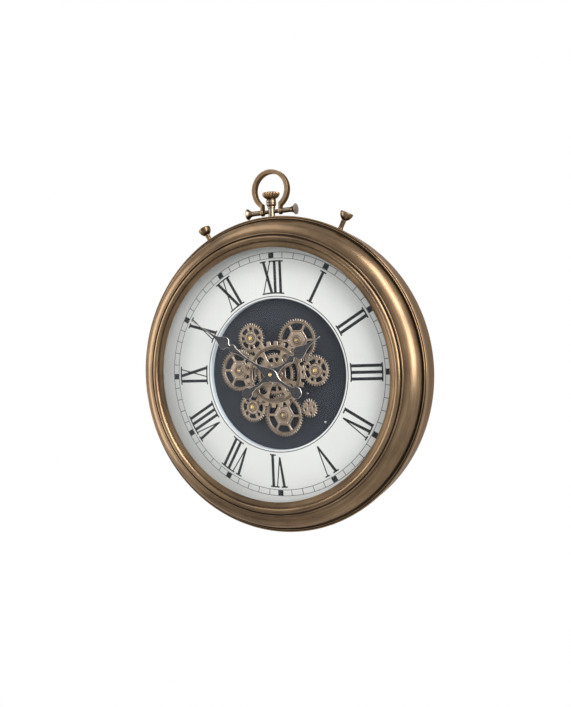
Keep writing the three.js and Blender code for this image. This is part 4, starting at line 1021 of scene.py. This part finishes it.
def bow_shape():
    """A flat band bent round, open at the foot, on two ears with washers."""
    radius, width, deep, rise = 35.0, 7.5, 12.0, 41.5
    ear_at, ear_wide = 17.0, 4.6
    opening = math.asin((ear_at + ear_wide / 2) / radius)
    a, b, c = width / 2, deep / 2, 0.6
    section = []
    for sx, sz, first in ((1, 1, 0), (-1, 1, 90), (-1, -1, 180), (1, -1, 270)):
        for t in (0, 30, 60, 90):
            x, z = polar(c, (first + t) * DEG)
            section.append((sx * (a - c) + x, sz * (b - c) + z))
    rings = [[((radius + r) * math.cos(turn), (radius + r) * math.sin(turn) + rise, z) for r, z in section]
             for turn in np.linspace(opening - math.pi / 2, 1.5 * math.pi - opening, 97)]
    foot = rise - radius * math.cos(opening)
    top = foot + width * 0.35
    outline = [(b, top), (-b, top), (-b - 0.2, 5.2), *(polar(7.0, t * DEG) for t in np.linspace(139, 401, 24)),
               (b + 0.2, 5.2)]
    ear = plate(outline, [circle(4.0, 32)], 0, ear_wide, 0.5, 1)
    parts = [loft(rings)]
    for x in (ear_at, -ear_at - ear_wide):
        out = x + ear_wide
        washer = lathe([(4.0, x - 0.3), (5.9, x - 0.3), (6.2, x), (6.2, out), (5.9, out + 0.3), (4.0, out + 0.3)], 40)
        parts += [ear.posed(shift(x, 0, 0) @ spin(90, "Y")), washer.posed(SIDEWAYS)]
    return join_shapes(parts).posed(TO_BAR)


def pusher_shapes(angle):
    """A stem with a flared foot and a rounded cup, leaning by the angle from twelve."""
    stem = lathe(up(NECK_Y, (0, 0), (6.8, 0), (7.0, 0.4), (6.6, 1.0), (5.4, 2.6), (4.7, 4.6), (4.4, 7.0), (4.4, 15.0),
                    (4.9, 15.6), (4.9, 16.8), (4.4, 17.4), (4.4, 20.5), (0, 20.5)), 48)
    cap = lathe(up(NECK_Y + 20.8, (0, 0), (5.2, 0), (5.6, 0.3), (6.8, 1.5), (8.7, 3.2), (10.3, 5.6), (11.4, 8.2),
                   (12.1, 11.0), (12.3, 12.9), (12.1, 13.9), (11.5, 14.5), (10.4, 14.6), (5.0, 14.9), (0, 15.0)), 64)
    pose = TO_CROWN @ spin(-angle) @ UPRIGHT
    return stem.posed(pose), cap.posed(pose)


piece("crown_neck", stem_shape(), [STEM_BRONZE, COLLAR_BRONZE], "case", ["crown_stem"])
piece("crown_bowl", crown_shape(), CROWN_BRONZE, "case", ["crown"], 45)
piece("bar_rod", bar_shape(), BAR_BRONZE_SHADED, "case", ["cross_bar"])
for side, way in (("right", 1), ("left", -1)):
    piece(f"knob_{side}", knob_shape(way), [KNOB_BRONZE, KNOB_FACE_HIGHLIGHT], "case", [f"bar_knob_{side}"])
piece("bow_band", bow_shape(), BOW_BRONZE, "bow", ["bow_ring"])
for side, angle in (("left", -27.6), ("right", 28)):
    stem, cap = pusher_shapes(angle)
    piece(f"push_stem_{side}", stem, PUSH_BRONZE, "case", [f"pusher_stem_{side}"])
    piece(f"push_cap_{side}", cap, PUSH_BRONZE, "case", [f"pusher_cap_{side}"])


# Pieces whose CAD shape stays ---------------------------------------------------------------------

KEPT = {
    "back_cover": FIBRE, "centre_bush": PIN_BRASS, "bush_collar": PIN_BRASS, "movement_case": BLACK_PLASTIC,
    "movement_cell": WRAP, "drive_case": BLACK_PLASTIC, "drive_cell": WRAP, "hanger_plate": ZINC,
    "set_knob": BLACK_PLASTIC, "drive_switch": RUBBER, "hour_tube": PIN_BRASS, "minute_arbor": PIN_BRASS,
    **{f"standoff_{i}": ZINC for i in range(1, 5)}, **{f"cover_screw_{i}": ZINC for i in range(1, 5)},
}
for name, look in KEPT.items():
    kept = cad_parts[name]
    kept.data.materials.clear()
    kept.data.materials.append(look)


# Stage, light and camera --------------------------------------------------------------------------

def stage_floor():
    """A pale floor far below the clock."""
    half, level, behind, before = 2600, -1900, -900, 2600
    corners = [(-half, level, behind), (half, level, behind), (half, level, before), (-half, level, before)]
    mesh = mesh_of("studio_floor", Shape(corners, [(0, 1, 2, 3)]))
    mesh.transform(FACE)
    look, tree, shader = start("pale_floor")
    grain = noise(tree, place(tree), 3.0, 3.0, 0.5)
    grey = ramp(tree, grain, [(0.3, (0.78, 0.78, 0.78)), (0.7, (0.84, 0.84, 0.84))])
    fill(tree, shader, {"Base Color": grey, "Roughness": 0.9})
    mesh.materials.append(look)
    obj = add_object("studio_floor", mesh)


def lamp(name, place_at, size, watts, colour):
    """A soft panel that faces the middle of the dial."""
    data = bpy.data.lights.new(name, "AREA")
    data.shape = "RECTANGLE"
    data.size, data.size_y = size
    data.energy = watts
    data.color = colour
    turn = (Vector(MIDDLE) - Vector(place_at)).to_track_quat("-Z", "Y").to_matrix().to_4x4()
    add_object(name, data).matrix_world = Matrix.Translation(place_at) @ turn


def surroundings():
    """A plain grey-white world for light, seen as white by the camera and in mirrors and glass."""
    scene = bpy.context.scene
    world = bpy.data.worlds.new("studio")
    scene.world = world
    world.use_nodes = True
    tree = world.node_tree
    tree.nodes.clear()
    rays = put(tree, "LightPath")
    mirrored = calc(tree, "MAXIMUM", rays.outputs["Is Glossy Ray"], rays.outputs["Is Transmission Ray"])
    seen = calc(tree, "MAXIMUM", rays.outputs["Is Camera Ray"], mirrored)
    lit = put(tree, "Background", {"Color": (0.97, 0.98, 1.0, 1), "Strength": 0.36})
    shown = put(tree, "Background", {"Color": (1, 1, 1, 1), "Strength": 1.0})
    mixed = put(tree, "MixShader", {0: seen, 1: lit.outputs[0], 2: shown.outputs[0]})
    put(tree, "OutputWorld", {"Surface": mixed.outputs[0]})
    scene.view_settings.view_transform = "Standard"


def photo_camera():
    """The camera that was fitted to the dial's circles and marks, in metres and radians."""
    data = bpy.data.cameras.new("photo_camera")
    data.lens = 41.78
    data.sensor_width = 36.0
    data.sensor_fit = "AUTO"
    data.clip_start = 0.05
    obj = add_object("photo_camera", data)
    turn = Matrix.Rotation(0.0424, 3, "Z") @ Matrix.Rotation(0.0113, 3, "X") @ Matrix.Rotation(-0.4683, 3, "Y")
    to_row = Matrix.Rotation(math.pi / 2, 3, "X")
    obj.matrix_world = Matrix.Translation((0.7244, -1.4376, -0.2304)) @ (to_row @ turn.transposed()).to_4x4()
    bpy.context.scene.camera = obj


MIDDLE = (0, -0.05, -0.287)
stage_floor()
surroundings()
lamp("key_front", (1.05, -2.2, 0.65), (1.2, 1.4), 6, (1.0, 0.99, 0.975))
lamp("panel_top_left", (-1.15, -1.25, 1.75), (1.5, 1.2), 17, (1.0, 0.99, 0.975))
lamp("panel_right", (2.05, -1.08, 0.3), (1.3, 1.6), 80, (1.0, 0.99, 0.97))
lamp("panel_upper_right", (1.55, -0.98, 1.42), (1.3, 1.3), 66, (1.0, 0.99, 0.97))
lamp("panel_left", (-1.75, -0.95, -0.15), (0.8, 1.7), 30, (1.0, 0.98, 0.95))
photo_camera()
